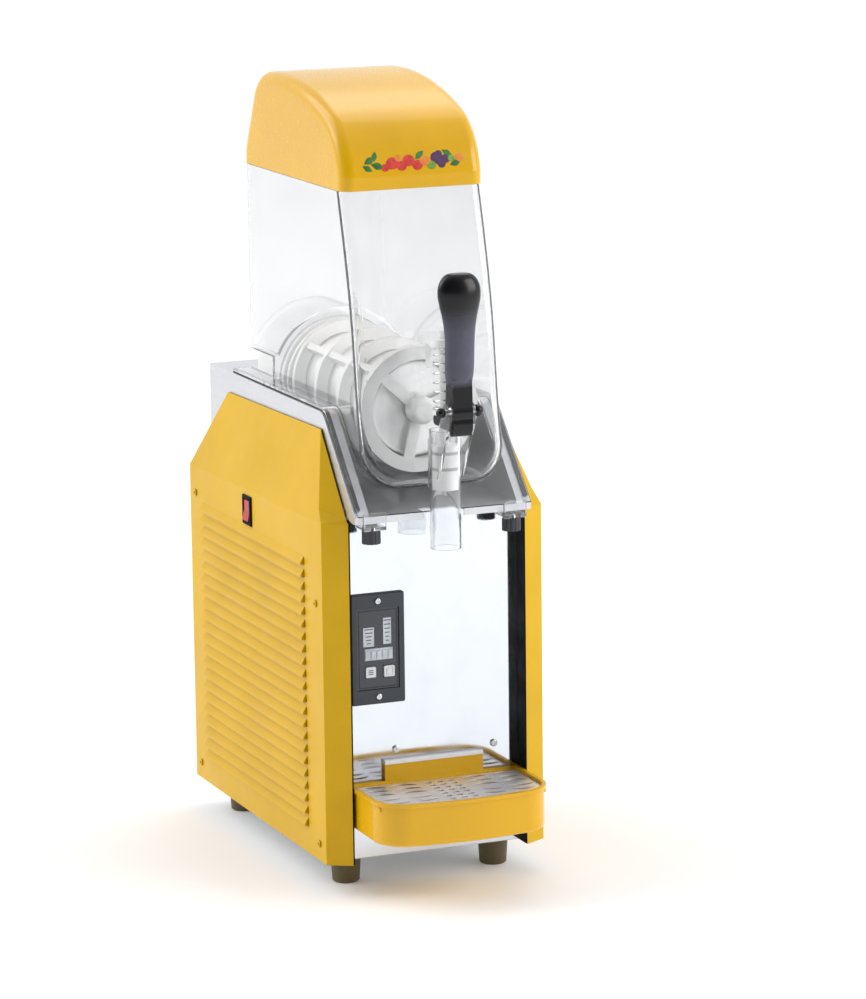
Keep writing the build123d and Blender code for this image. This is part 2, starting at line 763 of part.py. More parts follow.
def drip_grille():
    """Flat strainer with two fans of leaf-shaped slots and round holes between."""
    level = TRAY_RIM - 5.8
    with BuildPart() as grille:
        add(tray_solid(5.1, level, level + 2.4))
        with BuildSketch(Plane.XY.offset(level)):
            for side in (-1, 1):
                for row in range(6):
                    y = TRAY_BACK - 17.0 - row * 14.6
                    reach = 30.0 - 3.4 * max(row - 3, 0)
                    turn = side * (10.0 - 4.0 * row)
                    for column, x in enumerate((24.0 + reach / 2, 27.0 + 1.5 * reach)):
                        if row == 5 and column == 1:
                            continue
                        with Locations(Location((side * x, y + column * 1.5, 0), (0, 0, turn))):
                            add(leaf(reach, 6.6, 3.4 if row < 3 else -3.4))
            with Locations((0, TRAY_BACK - 50.0)):
                with GridLocations(12.0, 11.0, 3, 7):
                    SlotOverall(8.0, 5.0)
        extrude(amount=3.0, mode=Mode.SUBTRACT)
    return grille.part


# ---- bowl ----------------------------------------------------------------------

def bowl_section(inset, y0, y1):
    """Square-shouldered trough section with rounded bottom corners."""
    half = BOWL_HALF - inset
    low = BOWL_LOW + inset
    with BuildPart() as piece:
        with BuildSketch(Plane.XZ.offset(-y0)) as face:
            with Locations((0, (low + 800.0) / 2)):
                Rectangle(2 * half, 800.0 - low)
            fillet(face.vertices().group_by(Axis.Z)[0], CORNER_R - inset)
        extrude(amount=-(y1 - y0))
    return piece.part


def bowl_profile(inset, rim, back, rear_floor, neck):
    """Side outline with a front that leans back in a gentle curve."""
    with BuildPart() as piece:
        with BuildSketch(Plane.YZ.offset(-90.0)):
            with BuildLine():
                Spline(
                    (-171.0 + inset, BOWL_LOW + inset),
                    (-148.5 + inset, 500.0),
                    (-138.0 + inset, 577.0),
                    (-121.0 + inset, 652.0),
                    (-94.0 + inset, 740.0),
                )
                Polyline(
                    (-94.0 + inset, 740.0),
                    (back, 740.0),
                    (back, rear_floor),
                    (neck, rear_floor),
                    (neck, BOWL_LOW + inset),
                    (-171.0 + inset, BOWL_LOW + inset),
                )
            make_face()
        extrude(amount=180.0)
        if rim < 740.0:
            add(block(-95.0, 95.0, -200.0, 200.0, rim, 760.0), mode=Mode.SUBTRACT)
    return piece.part


def bowl_body(inset, rim, back, rear_floor, neck):
    with BuildPart() as piece:
        add(bowl_section(inset, -180.0, back))
        add(bowl_profile(inset, rim, back, rear_floor, neck), mode=Mode.INTERSECT)
        upright = piece.edges().filter_by(
            lambda e: abs(abs(e.center().X) - (BOWL_HALF - inset)) < 0.6
            and e.center().Y < -110.0 and e.length > 100.0)
        assert len(upright) == 2, "the two upright front edges"
        fillet(upright, FRONT_EDGE_R - inset)
        rear = piece.edges().filter_by(Axis.Z).filter_by(lambda e: e.center().Y > back - 1.0)
        fillet(rear, BACK_EDGE_R - inset)
    return piece.part


def bowl_cavity():
    with BuildPart() as cavity:
        add(bowl_body(WALL, 740.0, BOWL_BACK - WALL, OVERHANG + WALL, BULKHEAD_Y - WALL))
        add(rod_y(0, AXIS_Z, TUNNEL_R + WALL, BULKHEAD_Y - WALL, BOWL_BACK + 5.0), mode=Mode.SUBTRACT)
    return cavity.part


def tap_ear(x0, x1):
    """Upright lug that holds one end of the handle pin."""
    with BuildPart() as ear:
        with BuildSketch(Plane.YZ.offset(x0)):
            Polygon(
                (TAP_Y - 3.0, 430.0),
                (TAP_Y - 3.0, TUBE_TOP - 6.0),
                (TAP_Y - 16.0, TUBE_TOP + 2.0),
                (PIVOT_Y + 9.0, PIVOT_Z),
                (PIVOT_Y - 9.0, PIVOT_Z),
                (PIVOT_Y - 7.0, PIVOT_Z - 12.0),
                (TAP_Y - 13.0, 430.0),
                align=None,
            )
            with Locations((PIVOT_Y, PIVOT_Z)):
                Circle(9.0)
                Circle(3.05, mode=Mode.SUBTRACT)
        extrude(amount=x1 - x0)
    return ear.part


LOCK_X = 76.0
LOCK_Y = -173.0


def bowl():
    """Clear tank: trough, rear overhang, skirt over the deck and tap body."""
    with BuildPart() as tank:
        add(bowl_body(0.0, BOWL_RIM, BOWL_BACK, OVERHANG, BULKHEAD_Y))
        # the top of the wall steps in so that the lid sits flush
        neck = bowl_body(RIM_STEP, 740.0, BOWL_BACK - RIM_STEP, OVERHANG, BULKHEAD_Y)
        add(block(-90, 90, -150, 200, LID_LOW - 0.5, BOWL_RIM + 1.0) - neck, mode=Mode.SUBTRACT)
        add(strip_over_deck(SEAT, SKIRT, SKIRT_HALF, FLOOR + 1.0))
        add(bowl_cavity(), mode=Mode.SUBTRACT)
        add(rod_y(0, AXIS_Z, OPENING_R, BULKHEAD_Y - 8.0, BULKHEAD_Y + 5.0), mode=Mode.SUBTRACT)
        add(rod_y(0, AXIS_Z, TUNNEL_R, BULKHEAD_Y, BOWL_BACK + 5.0), mode=Mode.SUBTRACT)
        # tap body on the front
        add(rod_z(0, TAP_Y, TUBE_R, TUBE_LOW, TUBE_TOP))
        add(block(-11.0, 11.0, TAP_Y, -166.0, 416.0, 466.0))
        add(tap_ear(11.2, 14.2))
        add(tap_ear(-14.2, -11.2))
        add(bowl_cavity(), mode=Mode.SUBTRACT)
        add(rod_z(0, TAP_Y, BORE_R, TUBE_LOW - 1.0, TUBE_TOP + 1.0), mode=Mode.SUBTRACT)
        add(rod_y(0, 427.5, 8.0, TAP_Y, -150.0), mode=Mode.SUBTRACT)
        # the skirt ends in two tongues under the lip, one for each locking knob
        for side in (-1, 1):
            x0, x1 = sorted((side * (LOCK_X - 12.0), side * (LOCK_X + 12.0)))
            add(block(x0, x1, LIP_Y - 5.0, LIP_Y - 2.2, 380.5, FLOOR + 4.0))
            add(block(x0, x1, LIP_Y - 5.0, LOCK_Y + 12.0, 380.5, 383.5))
            add(rod_z(side * LOCK_X, LOCK_Y, 3.1, 380.0, 384.0), mode=Mode.SUBTRACT)
    return tank.part


def lock_knob(side):
    """Thumb knob that clamps the skirt's tongue up against the deck lip."""
    x = side * LOCK_X
    with BuildPart() as knob:
        add(rod_z(x, LOCK_Y, 9.5, 366.0, 380.2))
        flutes = [(x + 10.4 * cos(k * pi / 6), LOCK_Y + 10.4 * sin(k * pi / 6)) for k in range(12)]
        with BuildSketch(Plane.XY.offset(366.0)):
            with Locations(*flutes):
                Circle(1.7)
        extrude(amount=15.0, mode=Mode.SUBTRACT)
        add(rod_z(x, LOCK_Y, 3.0, 380.2, 384.2))
        add(rod_z(x, LOCK_Y, 6.0, 384.2, 386.6))
    return knob.part


def spring_stop():
    """Arm on the bowl front that guides the piston rod and holds the spring."""
    with BuildPart() as arm:
        with BuildSketch(Plane.XY.offset(SPRING_TOP)):
            with Locations((0, TAP_Y)):
                Circle(14.0)
            with Locations((0, -158.0)):
                Rectangle(22.0, 52.0)
        extrude(amount=8.0)
        with BuildSketch(Plane.YZ.offset(-3.0)):
            Polygon((-166.0, SPRING_TOP), (-135.0, SPRING_TOP), (-139.0, SPRING_TOP - 34.0), align=None)
        extrude(amount=6.0)
        add(rod_z(0, TAP_Y, 5.0, SPRING_TOP - 1.0, SPRING_TOP + 9.0), mode=Mode.SUBTRACT)
        add(bowl_body(0.0, BOWL_RIM, BOWL_BACK, OVERHANG, BULKHEAD_Y), mode=Mode.SUBTRACT)
    return arm.part


def bowl_seal():
    """Rubber ring between the cylinder flange, the bowl and the bulkhead."""
    with BuildPart() as ring:
        add(rod_y(0, AXIS_Z, OPENING_R - 0.05, 98.0, BULKHEAD_Y))
        add(rod_y(0, AXIS_Z, 58.0, 97.0, BULKHEAD_Y + 1.0), mode=Mode.SUBTRACT)
    return ring.part


def lid_shape(inset):
    """Humped lid: sloping back, rounded crown and a front that rolls down."""
    half = BOWL_HALF - inset
    low = LID_LOW - (5.0 if inset else 0.0)
    heel = (LID_BACK - inset, low)
    toe = (LID_FRONT + inset, low)
    with BuildPart() as piece:
        with BuildSketch(Plane.YZ.offset(-half)):
            with BuildLine():
                band = Line(heel, (LID_BACK - inset, LID_LOW + 8.0))
                bend = TangentArc(band @ 1, (LID_BACK - inset - 3.2, LID_LOW + 22.0), tangent=(0, 1))
                back = Line(bend @ 1, bend @ 1 + (bend % 1) * (60.0 - inset))
                crown = TangentArc(back @ 1, (114.0, 811.0 - inset), tangent=back % 1)
                roof = TangentArc(crown @ 1, (-60.0 + inset * 0.3, 787.0 - inset), tangent=crown % 1)
                nose = TangentArc(roof @ 1, (LID_FRONT + inset, 724.0), tangent=roof % 1)
                Line(nose @ 1, toe)
                Line(toe, heel)
            make_face()
        extrude(amount=2 * half)
        sides = piece.edges().filter_by(
            lambda e: abs(abs(e.center().X) - half) < 0.1 and e.center().Z > low + 2.0)
        fillet(sides, 13.0 - inset)
    return piece.part


def lid():
    """Thin lid shell, open below, with one even wall."""
    with BuildPart() as cover:
        add(lid_shape(0.0))
        add(lid_shape(LID_WALL), mode=Mode.SUBTRACT)
    return cover.part


# ---- freezing cylinder, auger and drive -------------------------------------------

def evaporator_drum():
    with BuildPart() as drum:
        add(rod_y(0, AXIS_Z, DRUM_R, DRUM_FRONT, 92.0))
        fillet(drum.faces().sort_by(Axis.Y)[0].edges(), 5.0)
        add(rod_y(0, AXIS_Z, DRUM_R - 1.5, DRUM_FRONT + 2.0, 93.0), mode=Mode.SUBTRACT)
        add(rod_y(0, AXIS_Z, SHAFT_R + 3.05, DRUM_FRONT - 1.0, DRUM_FRONT + 3.0), mode=Mode.SUBTRACT)
    return drum.part


def drum_flange():
    with BuildPart() as flange:
        add(rod_y(0, AXIS_Z, FLANGE_R, 92.0, 98.0))
        add(rod_y(0, AXIS_Z, 58.0, 98.0, BULKHEAD_Y))
        add(rod_y(0, AXIS_Z, SHAFT_R + 0.05, 91.0, 101.0), mode=Mode.SUBTRACT)
        for x, radius in ((PIPE_X, SUCTION_R), (-PIPE_X, LIQUID_R)):
            add(rod_y(x, PIPE_Z, radius + 0.05, 95.0, 101.0), mode=Mode.SUBTRACT)
    return flange.part


def shaft_seal():
    with BuildPart() as seal:
        add(rod_y(0, AXIS_Z, SHAFT_R + 3.0, DRUM_FRONT - 2.0, DRUM_FRONT + 2.0))
        add(rod_y(0, AXIS_Z, SHAFT_R + 0.05, DRUM_FRONT - 3.0, DRUM_FRONT + 3.0), mode=Mode.SUBTRACT)
    return seal.part


def drive_shaft():
    with BuildPart() as shaft:
        add(rod_y(0, AXIS_Z, SHAFT_R, -128.0, 104.0))
        add(rod_y(0, AXIS_Z, 5.0, 104.0, 124.0))
        add(block(-3.0, 3.0, -128.0, -114.0, AXIS_Z + 4.5, AXIS_Z + 7.5), mode=Mode.SUBTRACT)
    return shaft.part


AUGER_TURNS = 3


def auger():
    """Scraper: a spiral ribbon on three bars, with a hub plate in front."""
    length = AUGER_BACK - AUGER_FRONT - 8.0
    middle = (AUGER_R + AUGER_IN) / 2
    ring_in = AUGER_IN - 0.4
    with BuildPart() as screw:
        start = (0, AUGER_FRONT + 4.0, AXIS_Z)
        with BuildLine():
            spiral = Helix(length / AUGER_TURNS, length, middle, center=start, direction=(0, 1, 0))
        outward = (spiral @ 0) - Vector(*start)
        with BuildSketch(Plane(origin=spiral @ 0, x_dir=outward, z_dir=spiral % 0)):
            Rectangle(AUGER_R - 0.4 - AUGER_IN, 6.0)
        sweep(path=spiral, is_frenet=True)
        # end rings and the three bars that join them
        for y0, y1 in ((AUGER_FRONT - 4.0, AUGER_FRONT + 5.0), (AUGER_BACK - 5.0, AUGER_BACK)):
            add(rod_y(0, AXIS_Z, AUGER_R, y0, y1) - rod_y(0, AXIS_Z, ring_in, y0, y1))
        with BuildSketch(Plane.XZ.offset(-AUGER_FRONT)):
            with Locations((0, AXIS_Z)):
                with PolarLocations(middle, 3, start_angle=17.0):
                    Rectangle(8.0, 7.0)
        extrude(amount=-(AUGER_BACK - AUGER_FRONT))
        # front spider and hub
        with BuildSketch(Plane.XZ.offset(-(AUGER_FRONT - 3.5))):
            with Locations((0, AXIS_Z)):
                Circle(13.6)
                with PolarLocations(32.5, 3, start_angle=17.0):
                    Rectangle(41.0, 12.0)
        extrude(amount=-3.0)
        add(rod_y(0, AXIS_Z, 14.0, AUGER_FRONT - 12.0, AUGER_FRONT - 1.0))
        add(rod_y(0, AXIS_Z, SHAFT_R, AUGER_FRONT - 20.0, AUGER_FRONT + 10.0), mode=Mode.SUBTRACT)
    return screw.part


def auger_nose():
    """Bullet-shaped cap screwed on the end of the shaft."""
    start = AUGER_FRONT - 12.0
    with BuildPart() as cap:
        add(rod_y(0, AXIS_Z, 14.0, start - 8.0, start))
        fillet(cap.faces().sort_by(Axis.Y)[0].edges(), 6.0)
        add(rod_y(0, AXIS_Z, SHAFT_R, start - 4.0, start + 1.0), mode=Mode.SUBTRACT)
    return cap.part


MOTOR_Y = 142.0
PIPE_X = 44.0
PIPE_Z = AXIS_Z - 22.0


def gearbox():
    with BuildPart() as box:
        add(block(-36.0, 36.0, 108.0, 150.0, 446.0, 530.0))
        fillet(box.edges().filter_by(Axis.Y), 12.0)
        add(rod_y(0, AXIS_Z, 18.0, 102.5, 108.0))
        add(rod_y(0, AXIS_Z, 5.05, 101.0, 126.0), mode=Mode.SUBTRACT)
        add(rod_y(0, AXIS_Z, 11.0, 101.0, 104.5), mode=Mode.SUBTRACT)
    return box.part


def gear_motor():
    """Motor can hanging below the gearbox, with cooling ribs."""
    with BuildPart() as motor:
        add(rod_z(0, MOTOR_Y, 33.0, 346.0, 446.0))
        with BuildSketch(Plane.XY.offset(360.0)):
            with Locations((0, MOTOR_Y)):
                with PolarLocations(33.5, 16):
                    Rectangle(4.0, 2.0)
        extrude(amount=70.0)
        fillet(motor.faces().sort_by(Axis.Z)[0].edges(), 4.0)
    return motor.part


def motor_bracket():
    """Angle that ties the gearbox to the bulkhead, open around the motor."""
    with BuildPart() as angle:
        add(block(-34.0, 34.0, 102.5, 105.5, 412.0, 446.0))
        add(block(-34.0, 34.0, 105.5, 180.0, 443.0, 446.0))
        add(rod_z(0, MOTOR_Y, 35.8, 440.0, 450.0), mode=Mode.SUBTRACT)
    return angle.part


# ---- refrigeration and electrics ---------------------------------------------------

COMPRESSOR = (0.0, -28.0)


def compressor():
    """Hermetic compressor: welded shell, foot plate and two stub pipes."""
    x, y = COMPRESSOR
    with BuildPart() as shell:
        with BuildSketch(Plane.XY.offset(56.0)):
            with Locations((x, y)):
                Ellipse(66.0, 58.0)
        extrude(amount=134.0)
        fillet(shell.faces().sort_by(Axis.Z)[-1].edges(), 26.0)
        fillet(shell.faces().sort_by(Axis.Z)[0].edges(), 5.0)
        with BuildSketch(Plane.XY.offset(118.0)):
            with Locations((x, y)):
                Ellipse(69.0, 61.0)
        extrude(amount=5.0)
        with BuildSketch(Plane.XY.offset(52.0)):
            with Locations((x, y)):
                RectangleRounded(128.0, 124.0, 12.0)
            with Locations(*MOUNTS):
                Circle(4.2, mode=Mode.SUBTRACT)
        extrude(amount=4.5)
        add(rod_z(x + 22.0, y, 6.5, 180.0, 204.0))
        add(rod_z(x - 22.0, y, 5.0, 180.0, 204.0))
    return shell.part


def compressor_mounts():
    """Four rubber grommets with their studs."""
    with BuildPart() as group:
        with BuildSketch(Plane.XY.offset(PANEL_BOTTOM + 2.0)):
            with Locations(*MOUNTS):
                Circle(11.0)
        extrude(amount=18.0)
        with BuildSketch(Plane.XY.offset(52.0)):
            with Locations(*MOUNTS):
                Circle(4.0)
        extrude(amount=12.0)
        with BuildSketch(Plane.XY.offset(56.6)):
            with Locations(*MOUNTS):
                RegularPolygon(7.0, 6)
        extrude(amount=5.0)
    return group.part


FAN_Z = 170.0


def condenser():
    """Finned block in front of the rear air slots."""
    with BuildPart() as coil:
        add(block(-88.0, 88.0, 204.0, 240.0, 50.0, 300.0))
        for row in range(24):
            z = 56.0 + row * 10.2
            add(block(-85.0, 85.0, 203.0, 209.0, z, z + 5.0), mode=Mode.SUBTRACT)
            add(block(-85.0, 85.0, 235.0, 241.0, z, z + 5.0), mode=Mode.SUBTRACT)
        add(rod_z(-70.0, 222.0, 5.0, 300.0, 318.0))
        add(rod_z(70.0, 222.0, 4.0, 300.0, 318.0))
        add(block(-88.0, 88.0, 216.0, 228.0, 34.0, 50.0))
    return coil.part


def fan_shroud():
    """Square frame with a round throat and a three-armed motor holder."""
    with BuildPart() as frame:
        add(block(-90.0, 90.0, 176.0, 204.0, 80.0, 260.0))
        add(rod_y(0, FAN_Z, 82.0, 175.0, 205.0), mode=Mode.SUBTRACT)
        add(block(-86.0, 86.0, 179.0, 200.0, 84.0, 256.0) - rod_y(0, FAN_Z, 84.0, 170.0, 210.0),
            mode=Mode.SUBTRACT)
        with BuildSketch(Plane.XZ.offset(-176.0)):
            with Locations((0, FAN_Z)):
                with PolarLocations(55.0, 3, start_angle=30.0):
                    Rectangle(60.0, 8.0)
                Circle(28.0)
                Circle(6.0, mode=Mode.SUBTRACT)
        extrude(amount=-3.0)
        add(block(-60.0, -50.0, 176.0, 200.0, 34.0, 80.0))
        add(block(50.0, 60.0, 176.0, 200.0, 34.0, 80.0))
    return frame.part


def fan_motor():
    with BuildPart() as motor:
        add(rod_y(0, FAN_Z, 27.0, 130.0, 176.0))
        fillet(motor.faces().sort_by(Axis.Y)[0].edges(), 5.0)
    return motor.part


def pitched_blade(turn):
    """One fan blade, pitched 28 degrees and turned about the spindle."""
    blade = Pos(46.0, 189.0, 0) * Rot(28.0, 0, 0) * Box(54.0, 2.4, 34.0)
    return Pos(0, 0, FAN_Z) * Rot(0, turn, 0) * blade


FAN_BLADES = [pitched_blade(72.0 * k) for k in range(5)]


def fan_blade():
    """Hub with five pitched blades on the motor spindle."""
    with BuildPart() as fan:
        add(rod_y(0, FAN_Z, 20.0, 180.5, 198.0))
        for blade in FAN_BLADES:
            add(blade)
        add(rod_y(0, FAN_Z, 4.0, 176.0, 181.0))
        add(rod_y(0, FAN_Z, 76.0, 170.0, 210.0), mode=Mode.INTERSECT)
    return fan.part


SUCTION_R = 4.0
DISCHARGE_R = 3.2
LIQUID_R = 2.0
BEND_R = 16.0


def suction_line():
    """Cold return pipe from the cylinder flange down to the compressor."""
    x, y = COMPRESSOR[0] + 22.0, COMPRESSOR[1]
    return tube([(PIPE_X, 95.0, PIPE_Z), (PIPE_X, 166.0, PIPE_Z), (PIPE_X, 166.0, 318.0),
                 (x, y, 318.0), (x, y, 204.0)], SUCTION_R, BEND_R)


def discharge_line():
    """Hot pipe from the compressor to the top of the condenser."""
    x, y = COMPRESSOR[0] - 22.0, COMPRESSOR[1]
    return tube([(x, y, 204.0), (x, y, 345.0), (-70.0, 222.0, 345.0), (-70.0, 222.0, 318.0)],
                DISCHARGE_R, BEND_R)


def liquid_line():
    """Condenser to dryer, then the thin pipe from the dryer to the cylinder."""
    with BuildPart() as lines:
        add(tube([(70.0, 222.0, 318.0), (70.0, 222.0, 345.0), (98.0, 120.0, 345.0),
                  (98.0, 120.0, 214.0)], LIQUID_R + 0.6, BEND_R))
        add(tube([(98.0, 120.0, 96.0), (98.0, 120.0, 66.0), (98.0, 60.0, 66.0), (98.0, 60.0, 334.0),
                  (-PIPE_X, 166.0, 334.0), (-PIPE_X, 166.0, PIPE_Z), (-PIPE_X, 95.0, PIPE_Z)],
                 LIQUID_R, BEND_R))
    return lines.part


def electrical_box():
    with BuildPart() as box:
        add(block(70.0, 112.0, -60.0, 30.0, 240.0, 340.0))
        fillet(box.edges().filter_by(Axis.X), 4.0)
        add(block(112.0, 118.5, -50.0, 20.0, 250.0, 256.0))
        add(block(112.0, 118.5, -50.0, 20.0, 324.0, 330.0))
        for y in (-40.0, -20.0, 0.0):
            add(rod_z(91.0, y, 5.0, 232.0, 240.0))
    return box.part


def filter_dryer():
    with BuildPart() as dryer:
        add(rod_z(98.0, 120.0, 12.0, 110.0, 200.0))
        fillet(dryer.edges().filter_by(GeomType.CIRCLE), 5.0)
        add(rod_z(98.0, 120.0, 4.0, 200.0, 214.0))
        add(rod_z(98.0, 120.0, 3.0, 96.0, 110.5))
        add(block(98.0, 118.5, 114.0, 126.0, 148.0, 156.0))
    return dryer.part


# ---- tap ---------------------------------------------------------------------------

def tap_handle():
    """Lever: forked arm under the piston collar, boss, neck and moulded grip."""
    with BuildPart() as lever:
        with BuildSketch(Plane.YZ.offset(-10.2)):
            with Locations((PIVOT_Y, PIVOT_Z)):
                Circle(12.0)
            with Locations((PIVOT_Y - 3.0, PIVOT_Z - 12.0)):
                Ellipse(8.0, 12.0)
            Polygon(
                (PIVOT_Y - 11.0, PIVOT_Z),
                (PIVOT_Y + 11.0, PIVOT_Z),
                (PIVOT_Y + 8.5, 534.0),
                (PIVOT_Y - 9.5, 534.0),
                align=None,
            )
        extrude(amount=20.4)
        # grip, thickest at the knob
        for z, y, width, depth in GRIP:
            with BuildSketch(Plane.XY.offset(z)):
                with Locations((0, y)):
                    Ellipse(width / 2, depth / 2)
        loft()
        # forked arm
        with BuildSketch(Plane.YZ.offset(-10.2)):
            with Locations(((PIVOT_Y + TAP_Y) / 2, ARM_TIP_Z)):
                Rectangle(TAP_Y - PIVOT_Y, 10.0)
            with Locations((TAP_Y, ARM_TIP_Z)):
                Circle(5.0)
        extrude(amount=20.4)
        add(block(-5.6, 5.6, TAP_Y - 12.0, TAP_Y + 8.0, 470.0, 500.0), mode=Mode.SUBTRACT)
        add(rod_x(PIVOT_Y, PIVOT_Z, 3.05, -20.0, 20.0), mode=Mode.SUBTRACT)
    return lever.part


GRIP = [
    (529.0, -222.5, 24.0, 18.0),
    (542.0, -223.5, 30.0, 21.0),
    (565.0, -225.0, 30.5, 21.0),
    (586.0, -225.5, 33.0, 21.5),
    (606.0, -225.5, 41.0, 24.0),
    (622.0, -225.0, 45.0, 25.0),
    (633.0, -224.5, 38.0, 21.0),
    (639.0, -224.0, 22.0, 12.0),
]


def tap_pin():
    return rod_x(PIVOT_Y, PIVOT_Z, 3.0, -19.0, 19.0)


def pin_knobs():
    """Ball ends on the handle pin."""
    with BuildPart() as knobs:
        for side, radius in ((-1, 5.0), (1, 6.0)):
            with Locations((side * 19.5, PIVOT_Y, PIVOT_Z)):
                Sphere(radius)
        add(rod_x(PIVOT_Y, PIVOT_Z, 3.0, -19.0, 19.0), mode=Mode.SUBTRACT)
        add(block(-14.3, 14.3, -240.0, -200.0, 480.0, 520.0), mode=Mode.SUBTRACT)
    return knobs.part


def tap_piston():
    """Piston with seal grooves, rod and the collar that the lever lifts."""
    with BuildPart() as piston:
        add(rod_z(0, TAP_Y, 13.3, 417.0, 462.0))
        for z in RING_LEVELS:
            groove = rod_z(0, TAP_Y, 15.0, z, z + 3.0) - rod_z(0, TAP_Y, 11.4, z, z + 3.0)
            add(groove, mode=Mode.SUBTRACT)
        add(rod_z(0, TAP_Y, 4.5, 462.0, 578.0))
        add(rod_z(0, TAP_Y, 13.0, COLLAR_LOW, SPRING_LOW))
        chamfer(piston.faces().sort_by(Axis.Z)[-1].edges(), 1.0)
    return piston.part


RING_LEVELS = (437.0, 453.0)


def piston_rings():
    with BuildPart() as rings:
        for z in RING_LEVELS:
            add(rod_z(0, TAP_Y, BORE_R - 0.05, z, z + 3.0) - rod_z(0, TAP_Y, 11.4, z, z + 3.0))
    return rings.part


def tap_spring():
    """Return spring between the collar and the stop."""
    wire = 1.1
    height = SPRING_TOP - SPRING_LOW - 2 * wire - 0.2
    with BuildPart() as coil:
        with BuildLine(Plane(origin=(0, TAP_Y, SPRING_LOW + wire + 0.1))):
            spiral = Helix(height / 8.0, height, 10.4)
        with BuildSketch(Plane(origin=spiral @ 0, z_dir=spiral % 0)):
            Circle(wire)
        sweep(path=spiral, is_frenet=True)
    return coil.part


PIECES = {
    "base_pan": base_pan,
    "feet": feet,
    "foot_screws": foot_screws,
    "left_side_panel": left_side_panel,
    "right_side_panel": right_side_panel,
    "front_trims": front_trims,
    "front_panel": front_panel,
    "front_screws": front_screws,
    "side_screws": side_screws,
    "rear_panel": rear_panel,
    "cable_gland": cable_gland,
    "deck": deck,
    "deck_gasket": deck_gasket,
    "bulkhead": bulkhead,
    "motor_cover": motor_cover,
    "control_bezel": control_bezel,
    "bezel_screws": bezel_screws,
    "control_overlay": control_overlay,
    "display_windows": display_windows,
    "indicator_row": indicator_row,
    "control_board": control_board,
    "switch_housing": switch_housing,
    "rocker": rocker,
    "drip_tray": drip_tray,
    "tray_edging": tray_edging,
    "drip_grille": drip_grille,
    "bowl": bowl,
    "spring_stop": spring_stop,
    "bowl_seal": bowl_seal,
    "lid": lid,
    "evaporator_drum": evaporator_drum,
    "drum_flange": drum_flange,
    "shaft_seal": shaft_seal,
    "drive_shaft": drive_shaft,
    "auger": auger,
    "auger_nose": auger_nose,
    "gearbox": gearbox,
    "gear_motor": gear_motor,
    "motor_bracket": motor_bracket,
    "compressor": compressor,
    "compressor_mounts": compressor_mounts,
    "condenser": condenser,
    "fan_shroud": fan_shroud,
    "fan_motor": fan_motor,
    "fan_blade": fan_blade,
    "suction_line": suction_line,
    "discharge_line": discharge_line,
    "liquid_line": liquid_line,
    "electrical_box": electrical_box,
    "filter_dryer": filter_dryer,
    "tap_handle": tap_handle,
    "tap_pin": tap_pin,
    "pin_knobs": pin_knobs,
    "tap_piston": tap_piston,
    "piston_rings": piston_rings,
    "tap_spring": tap_spring,
}

for name, make in PIECES.items():
    save(make(), name)

save(button(MODE_BUTTON, False), "button_mode")
save(button(POWER_BUTTON, True), "button_power")
save(lock_knob(-1), "left_lock_knob")
save(lock_knob(1), "right_lock_knob")
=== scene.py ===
import math

import bpy
import numpy as np
from bpy.props import FloatProperty, FloatVectorProperty, PointerProperty
from mathutils import Matrix, Vector


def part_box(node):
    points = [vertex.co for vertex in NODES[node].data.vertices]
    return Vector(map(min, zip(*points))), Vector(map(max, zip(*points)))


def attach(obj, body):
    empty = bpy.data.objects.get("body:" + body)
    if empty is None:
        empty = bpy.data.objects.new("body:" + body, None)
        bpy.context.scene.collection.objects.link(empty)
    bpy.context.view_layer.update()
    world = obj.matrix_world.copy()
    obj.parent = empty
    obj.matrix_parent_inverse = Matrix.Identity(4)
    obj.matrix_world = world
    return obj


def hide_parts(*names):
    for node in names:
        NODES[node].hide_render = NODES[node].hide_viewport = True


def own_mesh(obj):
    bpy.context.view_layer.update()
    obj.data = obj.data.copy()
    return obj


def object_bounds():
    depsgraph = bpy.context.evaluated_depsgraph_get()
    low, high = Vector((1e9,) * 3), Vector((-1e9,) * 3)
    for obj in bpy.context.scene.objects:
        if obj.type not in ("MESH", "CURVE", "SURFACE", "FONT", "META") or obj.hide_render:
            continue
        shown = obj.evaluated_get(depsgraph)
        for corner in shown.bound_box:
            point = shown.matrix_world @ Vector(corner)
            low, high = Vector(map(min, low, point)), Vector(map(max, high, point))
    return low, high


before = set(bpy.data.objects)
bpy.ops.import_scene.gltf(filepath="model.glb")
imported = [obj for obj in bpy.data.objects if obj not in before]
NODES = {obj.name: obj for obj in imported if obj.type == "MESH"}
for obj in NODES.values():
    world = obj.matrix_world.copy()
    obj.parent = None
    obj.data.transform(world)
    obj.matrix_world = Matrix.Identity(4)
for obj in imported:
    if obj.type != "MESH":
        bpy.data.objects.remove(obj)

bl_info = {
    "name": "Slush Machine",
    "version": (1, 0, 0),
    "blender": (4, 5, 0),
    "location": "View3D > Sidebar > Slush Machine",
    "description": "Finishes a countertop slush machine around its packed frame",
    "category": "Object",
}

CAD_LOW, CAD_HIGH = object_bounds()
MM = 0.001

# Camera: the point it looks at and its distance from there, in metres, and its angles in degrees
CAMERA_TARGET = (0.0005, -0.1498, 0.3997)
CAMERA_DISTANCE = 4.3686
CAMERA_AZIMUTH, CAMERA_ELEVATION, CAMERA_ROLL = 22.258, 11.262, -0.704

# Softboxes: name, place and side in metres, and share of the key light's power
SOFTBOXES = (
    ("key", (2.5, -2.1, 1.7), 2.0, 1.0),
    ("top", (0.9, 1.0, 2.5), 1.4, 0.16),
    ("side", (-2.6, 1.1, 1.9), 1.3, 0.22),
)
SKY_PANEL_HEADING = (0.60, -0.50, -0.62)
SKY_PANEL_SPREAD = 50.0
DIM_SIDE = (-0.42, -0.90, 0.12)
DIM_SHARE = 0.06

